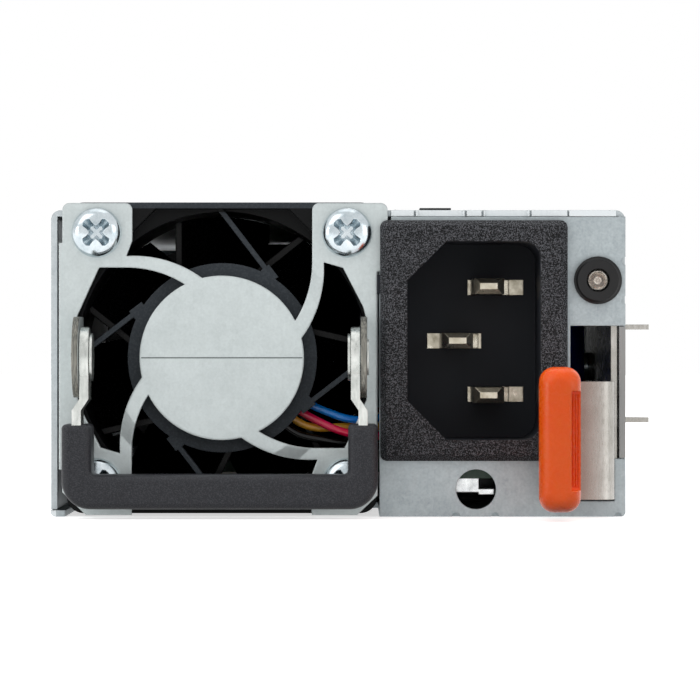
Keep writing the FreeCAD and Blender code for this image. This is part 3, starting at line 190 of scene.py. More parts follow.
def coverMarksAndLight(tree, place, zinc):
    # the front bend gets a painted highlight, the cut edge beside the latch window is darkened with painted
    # shade, and the lanced strip's front edge is bare and dark
    apart = addNode(tree, "SeparateXYZ", {"Vector": place})
    behind = behindPlate(tree, place, coverWearAndLight["bendDepth"])
    ahead = addNode(tree, "Math", {0: 1.0, 1: behind}, operation="SUBTRACT")
    lip = addNode(tree, "Math", {0: apart.outputs["Z"], 1: coverTop - coverWearAndLight["bendHeight"] * mm},
                  operation="GREATER_THAN")
    bend = addNode(tree, "Math", {0: ahead, 1: lip}, operation="MULTIPLY")
    zinc = addNode(tree, "Mix", {0: bend, 6: zinc, 7: linear(coverWearAndLight["bend"])}, data_type="RGBA")
    outer = addNode(tree, "Math", {0: apart.outputs["X"], 1: coverWearAndLight["cutEdgeFrom"] * mm},
                    operation="GREATER_THAN")
    besideWindow = addNode(tree, "Math", {0: apart.outputs["Z"], 1: coverWearAndLight["windowTop"] * mm},
                           operation="LESS_THAN")
    shadedCutEdge = addNode(tree, "Math", {0: outer, 1: besideWindow}, operation="MULTIPLY")
    shadedCutEdge = addNode(tree, "Math", {0: shadedCutEdge, 1: ahead}, operation="MULTIPLY")
    zinc = addNode(tree, "Mix", {0: shadedCutEdge, 6: zinc, 7: linear(coverWearAndLight["shadedCutEdge"])}, data_type="RGBA")
    raised = addNode(tree, "Math", {0: apart.outputs["Z"], 1: coverTop + coverWearAndLight["stripRise"] * mm},
                     operation="GREATER_THAN")
    facing = addNode(tree, "TexCoord").outputs["Normal"]
    upward = addNode(tree, "SeparateXYZ", {"Vector": facing}).outputs["Z"]
    upright = addNode(tree, "Math", {0: upward, 1: coverWearAndLight["uprightBelow"]}, operation="LESS_THAN")
    sheared = addNode(tree, "Math", {0: raised, 1: upright}, operation="MULTIPLY")
    return addNode(tree, "Mix", {0: sheared, 6: zinc, 7: linear(coverWearAndLight["sheared"])}, data_type="RGBA")


# the bend colour is a painted highlight on the outer bend
baseHighlight = {"bendWidth": 0.7, "bendDepth": 0.8, "bend": "#d8dddf"}


def paintedBaseHighlight(tree, place, zinc):
    # the outer bend along the fan side gets a painted highlight
    across = addNode(tree, "SeparateXYZ", {"Vector": place}).outputs["X"]
    outer = addNode(tree, "Math", {0: across, 1: cadBox[0].x + baseHighlight["bendWidth"] * mm},
                    operation="LESS_THAN")
    behind = behindPlate(tree, place, baseHighlight["bendDepth"])
    ahead = addNode(tree, "Math", {0: 1.0, 1: behind}, operation="SUBTRACT")
    bend = addNode(tree, "Math", {0: outer, 1: ahead}, operation="MULTIPLY")
    return addNode(tree, "Mix", {0: bend, 6: zinc, 7: linear(baseHighlight["bend"])}, data_type="RGBA")


plating = {"handlingMark": 1.6, "brightTo": 0.35, "wornFrom": 0.7, "smoother": 0.8, "duller": 1.3, "edge": 0.15}


def platedMetal(name, colour, shade, roughness, grainSize=0.3, grainDepth=0.004):
    # Smooth plate over steel or brass: a bright metal with faint handling marks.
    material, tree, place = startMaterial(name)
    wear = addNode(tree, "TexNoise", {"Vector": place, "Scale": perMetre(plating["handlingMark"]), "Detail": 4,
                                      "Roughness": 0.65})
    grain = addNode(tree, "TexNoise", {"Vector": place, "Scale": perMetre(grainSize), "Detail": 2})
    worn = addNode(tree, "MapRange", {"Value": wear, "From Min": plating["brightTo"],
                                      "From Max": plating["wornFrom"]})
    blend = addNode(tree, "Mix", {0: worn, 6: linear(colour), 7: linear(shade)}, data_type="RGBA")
    dull = addNode(tree, "MapRange", {"Value": wear, **noiseSpan, "To Min": roughness * plating["smoother"],
                                      "To Max": roughness * plating["duller"]})
    shader = addNode(tree, "BsdfPrincipled", {"Base Color": blend, "Metallic": 1.0, "Roughness": dull})
    return finishMaterial(material, shader, grain, grainDepth, plating["edge"])


drawing = {"cloud": 4, "shadeAt": 0.12, "brightAt": 0.4, "smoother": 0.06, "duller": 0.08, "relief": 0.004,
           "edge": 0.14}


def drawnMetal(name, colour, shade, roughness, stretch, streak=0.12, marksAndLight=None):
    # Cold-rolled or drawn stock: fine streaks along its length spread the highlight across them.
    # The streaks are drawn coarser than they are, so that they show.
    material, tree, place = startMaterial(name)
    along = addNode(tree, "Mapping", {"Vector": place, "Scale": stretch})
    streaks = addNode(tree, "TexNoise", {"Vector": along, "Scale": perMetre(streak), "Detail": 3})
    cloud = addNode(tree, "TexNoise", {"Vector": place, "Scale": perMetre(drawing["cloud"]), "Detail": 3})
    tone = addNode(tree, "Math", {0: streaks, 1: cloud}, operation="MULTIPLY")
    tone = addNode(tree, "MapRange", {"Value": tone, "From Min": drawing["shadeAt"],
                                      "From Max": drawing["brightAt"]})
    blend = addNode(tree, "Mix", {0: tone, 6: linear(shade), 7: linear(colour)}, data_type="RGBA")
    if marksAndLight:
        blend = marksAndLight(tree, place, blend)
    dull = addNode(tree, "MapRange", {"Value": streaks, **noiseSpan, "To Min": roughness - drawing["smoother"],
                                      "To Max": roughness + drawing["duller"]})
    shader = addNode(tree, "BsdfPrincipled", {"Base Color": blend, "Metallic": 1.0, "Roughness": dull})
    return finishMaterial(material, shader, streaks, drawing["relief"], drawing["edge"])


# Plastics and the rest

mouldedNylon = {"cloud": 9, "pitTo": 0.48, "glintFrom": 0.62, "smoother": 0.04, "duller": 0.05,
                "relief": 0.03, "edge": 0.25}


def sparkTexturedNylon(name, face, paintedGlint, inside, grainSize, share, roughness, smoothAndShadedFrom=50.0, shine=0.3,
                       marksAndLight=None):
    # Glass-filled nylon from a spark-eroded tool: fine even pits, with the glints of the shine on them painted
    # into the colour as specks.
    # The pits are drawn coarser than they are, so that they show.
    # The walls behind the textured face left the tool smooth, and their colour is painted darker as shade.
    material, tree, place = startMaterial(name)
    grain = addNode(tree, "TexNoise", {"Vector": place, "Scale": perMetre(grainSize), "Detail": 2,
                                       "Roughness": 0.7})
    cloud = addNode(tree, "TexNoise", {"Vector": place, "Scale": perMetre(mouldedNylon["cloud"]),
                                       "Detail": 3})
    # painted highlight: the speck colour stands for glints of the shine on the pits
    paintedGlints = addNode(tree, "MapRange", {"Value": grain, "From Min": mouldedNylon["pitTo"],
                                        "From Max": mouldedNylon["glintFrom"], "To Max": share})
    glintedFace = addNode(tree, "Mix", {0: paintedGlints, 6: linear(face), 7: linear(paintedGlint)}, data_type="RGBA")
    if marksAndLight:
        glintedFace = marksAndLight(tree, place, glintedFace)
    # painted shade: surfaces lying deeper than this take the darker inside colour
    shadedDeep = behindPlate(tree, place, smoothAndShadedFrom)
    colour = addNode(tree, "Mix", {0: shadedDeep, 6: glintedFace, 7: linear(inside)}, data_type="RGBA")
    height = addNode(tree, "Mix", {0: shadedDeep, 2: grain, 3: 0.5})
    dull = addNode(tree, "MapRange", {"Value": cloud, **noiseSpan,
                                      "To Min": roughness - mouldedNylon["smoother"],
                                      "To Max": roughness + mouldedNylon["duller"]})
    shader = addNode(tree, "BsdfPrincipled", {"Base Color": colour, "IOR": 1.5, "Specular IOR Level": shine,
                                              "Roughness": dull})
    return finishMaterial(material, shader, height, mouldedNylon["relief"], mouldedNylon["edge"])


# the flange colour is painted shade on the fan flange's face
shadedFlange = {"from": 18.7, "topEdge": 0.75, "paintedShade": "#0b0c0d"}


def paintedFrameShade(tree, place, nylon):
    # the flange's face is smoother than the motor's base and the flange's top edge, and is painted darker as
    # shade
    flat = addNode(tree, "VectorMath", {0: place, 1: (1, 0, 1)}, operation="MULTIPLY")
    reach = addNode(tree, "VectorMath", {0: flat, 1: (fanX, 0, fanZ)}, operation="DISTANCE")
    flange = addNode(tree, "Math", {0: reach, 1: shadedFlange["from"] * mm}, operation="GREATER_THAN")
    level = addNode(tree, "SeparateXYZ", {"Vector": place}).outputs["Z"]
    lower = addNode(tree, "Math", {0: level, 1: fanHigh.z - shadedFlange["topEdge"] * mm},
                    operation="LESS_THAN")
    paintedShade = addNode(tree, "Math", {0: flange, 1: lower}, operation="MULTIPLY")
    return addNode(tree, "Mix", {0: paintedShade, 6: nylon, 7: linear(shadedFlange["paintedShade"])}, data_type="RGBA")


# the brown colour is a painted reflection of the orange cap, and the dark colour is painted shade on the inner
# face
stripReflectionAndShade = {"reflectionTo": 31.2, "clearFrom": 34.2, "reflectionShare": 0.8, "paintedCapReflection": "#826a61",
          "innerFace": 35.3, "darkFrom": 1.5, "paintedShade": "#34322f"}


def capReflectionAndShade(tree, place, steel):
    # a painted reflection of the orange cap, a darker pinkish brown next to the cap, fades out across the
    # strip, and the strip's inner face inside the case is painted darker as shade
    across = addNode(tree, "SeparateXYZ", {"Vector": place}).outputs["X"]
    reflectionFade = addNode(tree, "MapRange", {
        "Value": across, "From Min": stripReflectionAndShade["reflectionTo"] * mm, "From Max": stripReflectionAndShade["clearFrom"] * mm,
        "To Min": stripReflectionAndShade["reflectionShare"], "To Max": 0.0})
    steel = addNode(tree, "Mix", {0: reflectionFade, 6: steel, 7: linear(stripReflectionAndShade["paintedCapReflection"])}, data_type="RGBA")
    inner = addNode(tree, "Math", {0: across, 1: stripReflectionAndShade["innerFace"] * mm}, operation="LESS_THAN")
    inside = addNode(tree, "Math", {0: inner, 1: behindPlate(tree, place, stripReflectionAndShade["darkFrom"])},
                     operation="MULTIPLY")
    return addNode(tree, "Mix", {0: inside, 6: steel, 7: linear(stripReflectionAndShade["paintedShade"])}, data_type="RGBA")


plainMould = {"dulling": 0.6, "smoother": 0.88, "duller": 1.15, "edge": 0.2, "soak": 1.2,
              "soakColour": (1.0, 0.35, 0.12)}


def smoothPlastic(name, colour, shade, roughness, shine=0.4, flow=3.0, depth=0.01, glow=0.0):
    # Moulded or extruded in a plain tool: an even colour with slight flow marks and a clear soft shine.
    # Where glow isn't 0, light soaks in a little and warms the thin edges.
    material, tree, place = startMaterial(name)
    cloud = addNode(tree, "TexNoise", {"Vector": place, "Scale": perMetre(flow), "Detail": 3})
    fine = addNode(tree, "TexNoise", {"Vector": place, "Scale": perMetre(plainMould["dulling"]), "Detail": 2})
    tone = addNode(tree, "MapRange", {"Value": cloud, **noiseSpan})
    blend = addNode(tree, "Mix", {0: tone, 6: linear(colour), 7: linear(shade)}, data_type="RGBA")
    dull = addNode(tree, "MapRange", {"Value": fine, **noiseSpan, "To Min": roughness * plainMould["smoother"],
                                      "To Max": roughness * plainMould["duller"]})
    shader = addNode(tree, "BsdfPrincipled", {"Base Color": blend, "IOR": 1.5, "Specular IOR Level": shine,
                                              "Roughness": dull, "Subsurface Weight": glow,
                                              "Subsurface Radius": plainMould["soakColour"],
                                              "Subsurface Scale": plainMould["soak"] * mm})
    return finishMaterial(material, shader, cloud, depth, plainMould["edge"])


lensCast = {"milk": 0.8, "clear": "#f4f2ee", "milky": "#dcd8d0", "relief": 0.004, "edge": 0.05}


def clearEpoxy():
    # Cast clear lens: a water-white dome with a slight milkiness inside.
    material, tree, place = startMaterial("castClearEpoxy")
    cloud = addNode(tree, "TexNoise", {"Vector": place, "Scale": perMetre(lensCast["milk"]), "Detail": 2})
    milky = addNode(tree, "Mix", {0: cloud, 6: linear(lensCast["clear"]), 7: linear(lensCast["milky"])},
                    data_type="RGBA")
    shader = addNode(tree, "BsdfPrincipled", {"Base Color": milky, "IOR": 1.52, "Roughness": 0.04,
                                              "Transmission Weight": 0.94})
    return finishMaterial(material, shader, cloud, lensCast["relief"], lensCast["edge"])


resist = {"track": 9, "trackShare": 0.03, "resist": "#0a3520", "thinResist": "#0c3d25", "overTrack": "#14502e",
          "weave": 0.4, "smoothest": 0.28, "dullest": 0.42, "relief": 0.02, "edge": 0.1}


def circuitBoard():
    # Glass-epoxy board under green solder resist, with tracks showing as a lighter relief.
    material, tree, place = startMaterial("solderResistBoard")
    tracks = addNode(tree, "TexBrick", {
        "Vector": place, "Color1": linear(resist["resist"]), "Color2": linear(resist["thinResist"]),
        "Mortar": linear(resist["overTrack"]), "Scale": perMetre(resist["track"]),
        "Mortar Size": resist["trackShare"]})
    weave = addNode(tree, "TexNoise", {"Vector": place, "Scale": perMetre(resist["weave"]), "Detail": 2})
    dull = addNode(tree, "MapRange", {"Value": weave, **noiseSpan, "To Min": resist["smoothest"],
                                      "To Max": resist["dullest"]})
    shader = addNode(tree, "BsdfPrincipled", {"Base Color": tracks.outputs["Color"], "IOR": 1.5,
                                              "Roughness": dull})
    return finishMaterial(material, shader, tracks.outputs["Fac"], resist["relief"], resist["edge"])


driverRecess = {"facet": 0.5, "film": "#2f97a0", "thinFilm": "#b4ecea", "relief": 0.3, "edge": 0.05}


def recessZinc():
    # Driver recess under blue-passivated zinc: the pressed facets hold a blue-green film.
    material, tree, place = startMaterial("passivatedRecess")
    facets = addNode(tree, "TexVoronoi", {"Vector": place, "Scale": perMetre(driverRecess["facet"])})
    film = addNode(tree, "Mix", {0: facets.outputs["Color"], 6: linear(driverRecess["film"]),
                                 7: linear(driverRecess["thinFilm"])}, data_type="RGBA")
    shader = addNode(tree, "BsdfPrincipled", {"Base Color": film, "Metallic": 1.0, "Roughness": 0.26})
    return finishMaterial(material, shader, facets.outputs["Distance"], driverRecess["relief"],
                          driverRecess["edge"])


sheetSteel = galvanisedSteel("galvanisedSheet", "#b6bec0", "#8e969a", 0.5, marksAndLight=paintedBaseHighlight, edge=0.22)
coverSteel = galvanisedSteel("galvanisedCover", "#c7cdcf", "#a7aeb1", 0.5, marksAndLight=coverMarksAndLight)
guardSteel = galvanisedSteel("galvanisedGuard", "#c7cece", "#b0b7b7", 0.5, marksAndLight=guardMarksAndShade, edge=0.35)
brightZinc = platedMetal("brightZincPlate", "#d3dbdf", "#b0bcc2", 0.17)
recessFilm = recessZinc()
bailZinc = drawnMetal("zincPlatedStrip", "#d6d8d4", "#a6aaa6", 0.3, (1, 1, 0.35), streak=0.5)
springSteel = drawnMetal("satinSpringStrip", "#b6b3ae", "#98958f", 0.27, (1, 1, 0.25), streak=0.2,
                         marksAndLight=capReflectionAndShade)
nickelBrass = platedMetal("nickelPlatedBrass", "#cfc9ba", "#9b937f", 0.3, grainSize=0.35, grainDepth=0.02)
groundSteel = drawnMetal("groundSteel", "#c0c0c0", "#989898", 0.22, (1, 0.05, 1))
tinPlate = platedMetal("tinnedWire", "#cfd0cf", "#a9aaa8", 0.3)
brightTin = platedMetal("brightTinnedLug", "#dfe1e1", "#b9bdbe", 0.2)
goldPlate = platedMetal("goldPlatedCopper", "#e8c05a", "#c79a3a", 0.25)
aluminium = drawnMetal("extrudedAluminium", "#c2c4c6", "#999ca0", 0.35, (1, 1, 0.05))
enamelledCopper = platedMetal("enamelledCopperWire", "#b8632c", "#8a4218", 0.28)

# speck colours are painted glints; inside colours are painted shade on the walls behind the face
bezelNylon = sparkTexturedNylon(
    "sparkTexturedBezel", face="#08090b", paintedGlint="#9c9ea5", inside="#2d3036", grainSize=0.15, share=0.5,
    roughness=0.52, smoothAndShadedFrom=-1.45, shine=0.16)
gripNylon = sparkTexturedNylon(
    "sparkTexturedGrip", face="#2b2c30", paintedGlint="#64656b", inside="#2b2c30", grainSize=0.13, share=0.34,
    roughness=0.44, shine=0.25)
frameNylon = sparkTexturedNylon(
    "sparkTexturedFrame", face="#3c4146", paintedGlint="#53585d", inside="#050607", grainSize=0.3, share=0.35,
    roughness=0.4, smoothAndShadedFrom=2.6, shine=0.12, marksAndLight=paintedFrameShade)
rotorNylon = smoothPlastic("mouldedBlackBlades", "#050506", "#08080a", 0.25, shine=0.15)
ringNylon = smoothPlastic("mouldedBlackRing", "#131314", "#1b1b1c", 0.34, shine=0.3)
orangeCap = smoothPlastic("mouldedOrangeCap", "#ff5c08", "#ff6410", 0.27, shine=0.3, flow=5.0,
                          depth=0.003, glow=0.5)
blueSleeve = smoothPlastic("shrunkBlueSleeve", "#1c3ec0", "#2448d0", 0.3)
blackSleeve = smoothPlastic("shrunkBlackSleeve", "#0b0b0d", "#121215", 0.3)
greyBlock = smoothPlastic("mouldedGreyBox", "#3e3e42", "#48484c", 0.45)
relayBlock = smoothPlastic("mouldedRelayBox", "#101012", "#17171a", 0.4)
chipEpoxy = smoothPlastic("mouldedChipEpoxy", "#111112", "#19191a", 0.5)
ferrite = smoothPlastic("sinteredFerrite", "#26262a", "#323236", 0.5, shine=0.4, flow=1.5, depth=0.03)
magnetFerrite = smoothPlastic("bondedMagnet", "#1c1c1e", "#29292c", 0.5, shine=0.4, flow=1.5, depth=0.03)
windingTape = smoothPlastic("wrappedYellowTape", "#c9a53a", "#b8932e", 0.4)
ceramicTube = smoothPlastic("glazedCeramic", "#e4e0d4", "#d6d0c2", 0.25)
whiteNylon = smoothPlastic("mouldedWhiteNylon", "#e6e2d6", "#d9d4c6", 0.4)
filmSheet = smoothPlastic("blackInsulatorFilm", "#0c0c0d", "#141415", 0.45, shine=0.3)
leadBlue = smoothPlastic("extrudedBlueSleeve", "#0a9cff", "#0686f6", 0.14, shine=0.5)
leadYellow = smoothPlastic("extrudedYellowSleeve", "#ffbe42", "#efa92e", 0.14, shine=0.5)
leadRed = smoothPlastic("extrudedRedSleeve", "#ff1a5e", "#fa124e", 0.14, shine=0.5)
leadBlack = smoothPlastic("extrudedBlackSleeve", "#030304", "#050506", 0.16, shine=0.3)
leadBrown = smoothPlastic("extrudedBrownSleeve", "#5a3018", "#4c2812", 0.35)
leadGreen = smoothPlastic("extrudedGreenSleeve", "#5f9a2e", "#d6b62a", 0.35)
stampedCup = platedMetal("stampedSilverCup", "#f0ece6", "#a89a90", 0.12, grainSize=0.55, grainDepth=0.12)
board = circuitBoard()
lensEpoxy = clearEpoxy()

finishes = (
    (sheetSteel, ("casing_base",)),
    (brightTin, ("earth_lug",)),
    (coverSteel, ("casing_cover", "rear_panel")),
    (guardSteel, ("fan_guard",)),
    (brightZinc, ("fan_screws", "cover_screws", "board_screws", "board_feet", "latch_rivets")),
    (bailZinc, ("handle_bail", "handle_rivets")),
    (springSteel, ("latch_strip", "latch_foot")),
    (nickelBrass, ("line_pin", "neutral_pin", "earth_pin")),
    (groundSteel, ("fan_shaft", "fan_bearings", "fan_stator")),
    (tinPlate, ("led_leads",)),
    (goldPlate, ("edge_contacts",)),
    (aluminium, ("primary_heatsink", "output_heatsink")),
    (enamelledCopper, ("line_choke", "boost_choke")),
    (bezelNylon, ("inlet_socket",)),
    (gripNylon, ("handle_grip",)),
    (frameNylon, ("fan_frame",)),
    (rotorNylon, ("fan_rotor",)),
    (ringNylon, ("led_holder",)),
    (orangeCap, ("latch_cap",)),
    (blueSleeve, ("filter_capacitor",)),
    (blackSleeve, ("bulk_capacitor", "output_capacitors")),
    (greyBlock, ("box_capacitor",)),
    (relayBlock, ("relay",)),
    (chipEpoxy, ("bridge_rectifier", "primary_transistors", "output_transistors", "control_chips")),
    (ferrite, ("transformer_core", "output_choke")),
    (magnetFerrite, ("fan_magnet",)),
    (windingTape, ("transformer_winding",)),
    (ceramicTube, ("fuse",)),
    (whiteNylon, ("fan_plug", "fan_socket")),
    (filmSheet, ("insulator_film",)),
    (leadBlue, ("fan_lead_blue", "neutral_lead")),
    (leadYellow, ("fan_lead_yellow",)),
    (leadRed, ("fan_lead_red",)),
    (leadBlack, ("fan_lead_black",)),
    (leadBrown, ("line_lead",)),
    (leadGreen, ("earth_lead",)),
    (board, ("main_board", "control_card", "fan_driver_board")),
    (lensEpoxy, ("status_led",)),
)


def coat(piece, *materials):
    piece.data.materials.clear()
    for material in materials:
        piece.data.materials.append(material)


for material, names in finishes:
    for name in names:
        coat(nodes[name], material)
print("finishes on", sum(len(names) for material, names in finishes), "of", len(nodes), "nodes")


# Added pieces

def addPiece(name, mesh, body, slot, *materials):
    # a finished mesh as a piece of the scene, riding on a body
    piece = bpy.data.objects.new(name, mesh)
    bpy.context.scene.collection.objects.link(piece)
    coat(piece, *materials)
    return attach(piece, body)


def shadeSmooth(mesh, degrees=38):
    mesh.shade_smooth()
    mesh.set_sharp_from_angle(angle=math.radians(degrees))


def settle(piece):
    # works a piece's modifiers into its mesh
    bpy.context.view_layer.update()
    graph = bpy.context.evaluated_depsgraph_get()
    mesh = bpy.data.meshes.new_from_object(piece.evaluated_get(graph))
    piece.modifiers.clear()
    piece.data = mesh
    shadeSmooth(mesh)


# Fan screws: pressed pan heads with a tapered cross recess

screwHead = {"radius": 3.2, "height": 2.3, "roundness": 3.1, "rings": 14, "segments": 72,
             "mouthShare": 1.1, "mouthLift": 0.3, "footShare": 0.42, "recessDepth": 1.6,
             # one flute's outline, as reach in millimetres and lean in degrees
             "flute": ((0.85, -45), (1.35, -24), (2.05, -19.5), (2.3, -8), (2.3, 8), (2.05, 19.5),
                       (1.35, 24))}


def turnedHead(centre):
    # a superellipse outline turned about the screw's axis, in metres, facing -Y
    radius, height, power = (screwHead[key] for key in ("radius", "height", "roundness"))
    rings, segments = screwHead["rings"], screwHead["segments"]
    verts, faces = [centre + Vector((0, -height * mm, 0))], []
    for ring in range(1, rings + 1):
        lean = math.pi / 2 * ring / rings
        reach, rise = radius * math.sin(lean) ** (2 / power), height * math.cos(lean) ** (2 / power)
        for step in range(segments):
            turn = 2 * math.pi * step / segments
            verts.append(centre + Vector((reach * math.cos(turn), -rise, reach * math.sin(turn))) * mm)
    for step in range(segments):
        after = (step + 1) % segments
        faces.append((0, 1 + step, 1 + after))
        for ring in range(rings - 1):
            first = 1 + ring * segments
            faces.append((first + step, first + segments + step, first + segments + after, first + after))
    faces.append([1 + (rings - 1) * segments + step for step in reversed(range(segments))])
    mesh = bpy.data.meshes.new("turnedHead")
    mesh.from_pydata(verts, [], faces)
    return mesh


def recessCutter(centre):
    # four flared flutes, widest at their tips, which draw in towards the foot of the recess
    top = -(screwHead["height"] + screwHead["mouthLift"])
    foot = -(screwHead["height"] - screwHead["recessDepth"])
    outline = [(reach, math.radians(45 + 90 * arm + lean)) for arm in range(4)
               for reach, lean in screwHead["flute"]]
    bm = bmesh.new()
    rows = []
    for depth, share in ((top, screwHead["mouthShare"]), (foot, screwHead["footShare"])):
        rows.append([bm.verts.new(Vector((reach * share * math.cos(turn), depth,
                                          reach * share * math.sin(turn))) * mm)
                     for reach, turn in outline])
    bm.faces.new(rows[0])
    bm.faces.new(list(reversed(rows[1])))
    for i in range(len(outline)):
        after = (i + 1) % len(outline)
        bm.faces.new((rows[0][i], rows[1][i], rows[1][after], rows[0][after]))
    for face in bm.faces:
        face.material_index = 1
    bmesh.ops.recalc_face_normals(bm, faces=bm.faces)
    bmesh.ops.translate(bm, vec=centre, verts=bm.verts)
    mesh = bpy.data.meshes.new("recessCutter")
    bm.to_mesh(mesh)
    bm.free()
    cutter = bpy.data.objects.new("recessCutter", mesh)
    bpy.context.scene.collection.objects.link(cutter)
    coat(cutter, brightZinc, recessFilm)
    return cutter


def makeFanScrews():
    low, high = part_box("fan_screws")
    reach = screwHead["radius"] * mm
    for i, (x, z) in enumerate((x, z) for x in (low.x + reach, high.x - reach)
                               for z in (low.z + reach, high.z - reach)):
        centre = Vector((x, plateFront, z))
        head = addPiece(f"screwHead{i + 1}", turnedHead(centre), "casing", "zinc_screw", brightZinc, recessFilm)
        cutter = recessCutter(centre)
        head.modifiers.new("recess", "BOOLEAN").object = cutter
        settle(head)
        bpy.data.objects.remove(cutter)
        if i == 0:
            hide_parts("fan_screws")


makeFanScrews()
print("fan screws made")


# Latch cap: a soft moulded thumb tab with a grooved step along its outer side

latchCap = {"cornerRadius": 1.9, "cornerShrink": 0.4, "leastRadius": 0.05, "leastFlat": 0.02,
            "cornerSteps": 10, "noseDepth": 2.3, "noseInset": 1.8, "rings": 14, "draft": 0.5, "spread": 0.3,
            "stepWidth": 1.3, "stepFoot": 2.75, "stepHead": 3.0, "stepDepth": 2.35, "stepEdge": 0.2,
            "grooves": 3, "firstGroove": 0.8, "groovePitch": 0.33, "grooveWidth": 0.1, "grooveDepth": 0.12,
            "grooveInset": 0.4, "clearance": 3}


def capSection(low, high, inset, y):
    # one upright slice of the cap: a rounded oblong drawn in by inset
    left, right = low.x / mm - latchCap["spread"] + inset, high.x / mm - inset
    foot, head = low.z / mm + inset, high.z / mm - inset
    radius = min(latchCap["cornerRadius"] - inset * latchCap["cornerShrink"],
                 (right - left) / 2 - latchCap["leastFlat"])
    radius = max(radius, latchCap["leastRadius"])
    corners = ((right - radius, foot + radius, -90), (right - radius, head - radius, 0),
               (left + radius, head - radius, 90), (left + radius, foot + radius, 180))
    points = []
    for across, up, start in corners:
        for step in range(latchCap["cornerSteps"] + 1):
            turn = math.radians(start + 90 * step / latchCap["cornerSteps"])
            points.append(Vector((across + radius * math.cos(turn), y, up + radius * math.sin(turn))) * mm)
    return points


def softBlock(name, low, high, edge):
    # a cutter with a small rounding, in metres
    bm = bmesh.new()
    bmesh.ops.create_cube(bm, size=1)
    for vert in bm.verts:
        vert.co = Vector([low[i] if vert.co[i] < 0 else high[i] for i in range(3)])
    if edge:
        bmesh.ops.bevel(bm, geom=bm.edges[:], offset=edge, segments=3, profile=0.5, affect="EDGES")
    mesh = bpy.data.meshes.new(name)
    bm.to_mesh(mesh)
    bm.free()
    cutter = bpy.data.objects.new(name, mesh)
    bpy.context.scene.collection.objects.link(cutter)
    return cutter


def makeLatchCap():
    low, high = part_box("latch_cap")
    tip, root, nose = low.y / mm, high.y / mm, latchCap["noseDepth"]
    slices = []
    for ring in range(latchCap["rings"] + 1):
        lean = math.pi / 2 * ring / latchCap["rings"]
        inset = latchCap["noseInset"] * (1 - math.sin(lean))
        slices.append(capSection(low, high, inset, tip + nose * (1 - math.cos(lean))))
    slices.append(capSection(low, high, latchCap["draft"], root))
    bm = bmesh.new()
    rows = [[bm.verts.new(point) for point in points] for points in slices]
    count = len(rows[0])
    bm.faces.new(rows[0])
    bm.faces.new(list(reversed(rows[-1])))
    for front, behind in zip(rows, rows[1:]):
        for i in range(count):
            bm.faces.new((front[i], behind[i], behind[(i + 1) % count], front[(i + 1) % count]))
    bmesh.ops.recalc_face_normals(bm, faces=bm.faces)
    mesh = bpy.data.meshes.new("latchCapMoulding")
    bm.to_mesh(mesh)
    bm.free()
    cap = addPiece("latchCapMoulding", mesh, "latch", "orange_plastic", orangeCap)
    inner, ledge = high.x - latchCap["stepWidth"] * mm, low.y + latchCap["stepDepth"] * mm
    foot, head = low.z + latchCap["stepFoot"] * mm, high.z - latchCap["stepHead"] * mm
    past, shy = latchCap["clearance"] * mm, latchCap["grooveInset"] * mm
    cutters = [softBlock("capStep", (inner, low.y - past, foot), (high.x + past, ledge, head),
                         latchCap["stepEdge"] * mm)]
    for i in range(latchCap["grooves"]):
        middle = inner + latchCap["groovePitch"] * (i + latchCap["firstGroove"]) * mm
        half = latchCap["grooveWidth"] / 2 * mm
        cutters.append(softBlock(f"capGroove{i}", (middle - half, low.y - past, foot + shy),
                                 (middle + half, ledge + latchCap["grooveDepth"] * mm, head - shy), 0))
    for cutter in cutters:
        cap.modifiers.new(cutter.name, "BOOLEAN").object = cutter
    settle(cap)
    for cutter in cutters:
        bpy.data.objects.remove(cutter)
    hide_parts("latch_cap")


makeLatchCap()
print("latch cap moulded")


# Chokes: copper wire wound on ring cores

chokes = {
    "line_choke": {"ring": 6.6, "section": 2.6, "wire": 0.9, "turns": 22},
    "boost_choke": {"ring": 9.0, "section": 3.7, "wire": 1.1, "turns": 26},
}
chokeMesh = {"around": 72, "across": 20, "wireSteps": 12}


def makeChoke(node, sizes):
    low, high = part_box(node)
    middle = (low + high) / 2
    bm = bmesh.new()
    around, across = chokeMesh["around"], chokeMesh["across"]
    rows = []
    for i in range(around):
        turn = 2 * math.pi * i / around
        row = []
        for j in range(across):
            lean = 2 * math.pi * j / across
            reach = sizes["ring"] + sizes["section"] * math.cos(lean)
            row.append(bm.verts.new(middle + Vector((reach * math.cos(turn), reach * math.sin(turn),
                                                     sizes["section"] * math.sin(lean))) * mm))
        rows.append(row)
    for i in range(around):
        for j in range(across):
            bm.faces.new((rows[i][j], rows[(i + 1) % around][j], rows[(i + 1) % around][(j + 1) % across],
                          rows[i][(j + 1) % across]))
    mesh = bpy.data.meshes.new(node + "Core")
    bm.to_mesh(mesh)
    bm.free()
    shadeSmooth(mesh)
    core = addPiece(node + "Core", mesh, "casing", "ferrite", ferrite)
    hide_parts(node)
    curve = bpy.data.curves.new(node + "Wire", "CURVE")
    curve.dimensions, curve.bevel_depth, curve.bevel_resolution = "3D", sizes["wire"] / 2 * mm, 2
    steps = sizes["turns"] * chokeMesh["wireSteps"]
    spline = curve.splines.new("NURBS")
    spline.points.add(steps - 1)
    wound = sizes["section"] + sizes["wire"] / 2
    for i in range(steps):
        turn, lean = 2 * math.pi * i / steps, 2 * math.pi * i / chokeMesh["wireSteps"]
        reach = sizes["ring"] + wound * math.cos(lean)
        spot = middle + Vector((reach * math.cos(turn), reach * math.sin(turn), wound * math.sin(lean))) * mm
        spline.points[i].co = (*spot, 1)
    spline.order_u, spline.use_cyclic_u = 3, True
    addPiece(node + "Wire", curve, "casing", "copper_winding", enamelledCopper)


for node, sizes in chokes.items():
    makeChoke(node, sizes)
print("chokes wound")


# Indicator: a stamped reflector cup and its die under the clear dome

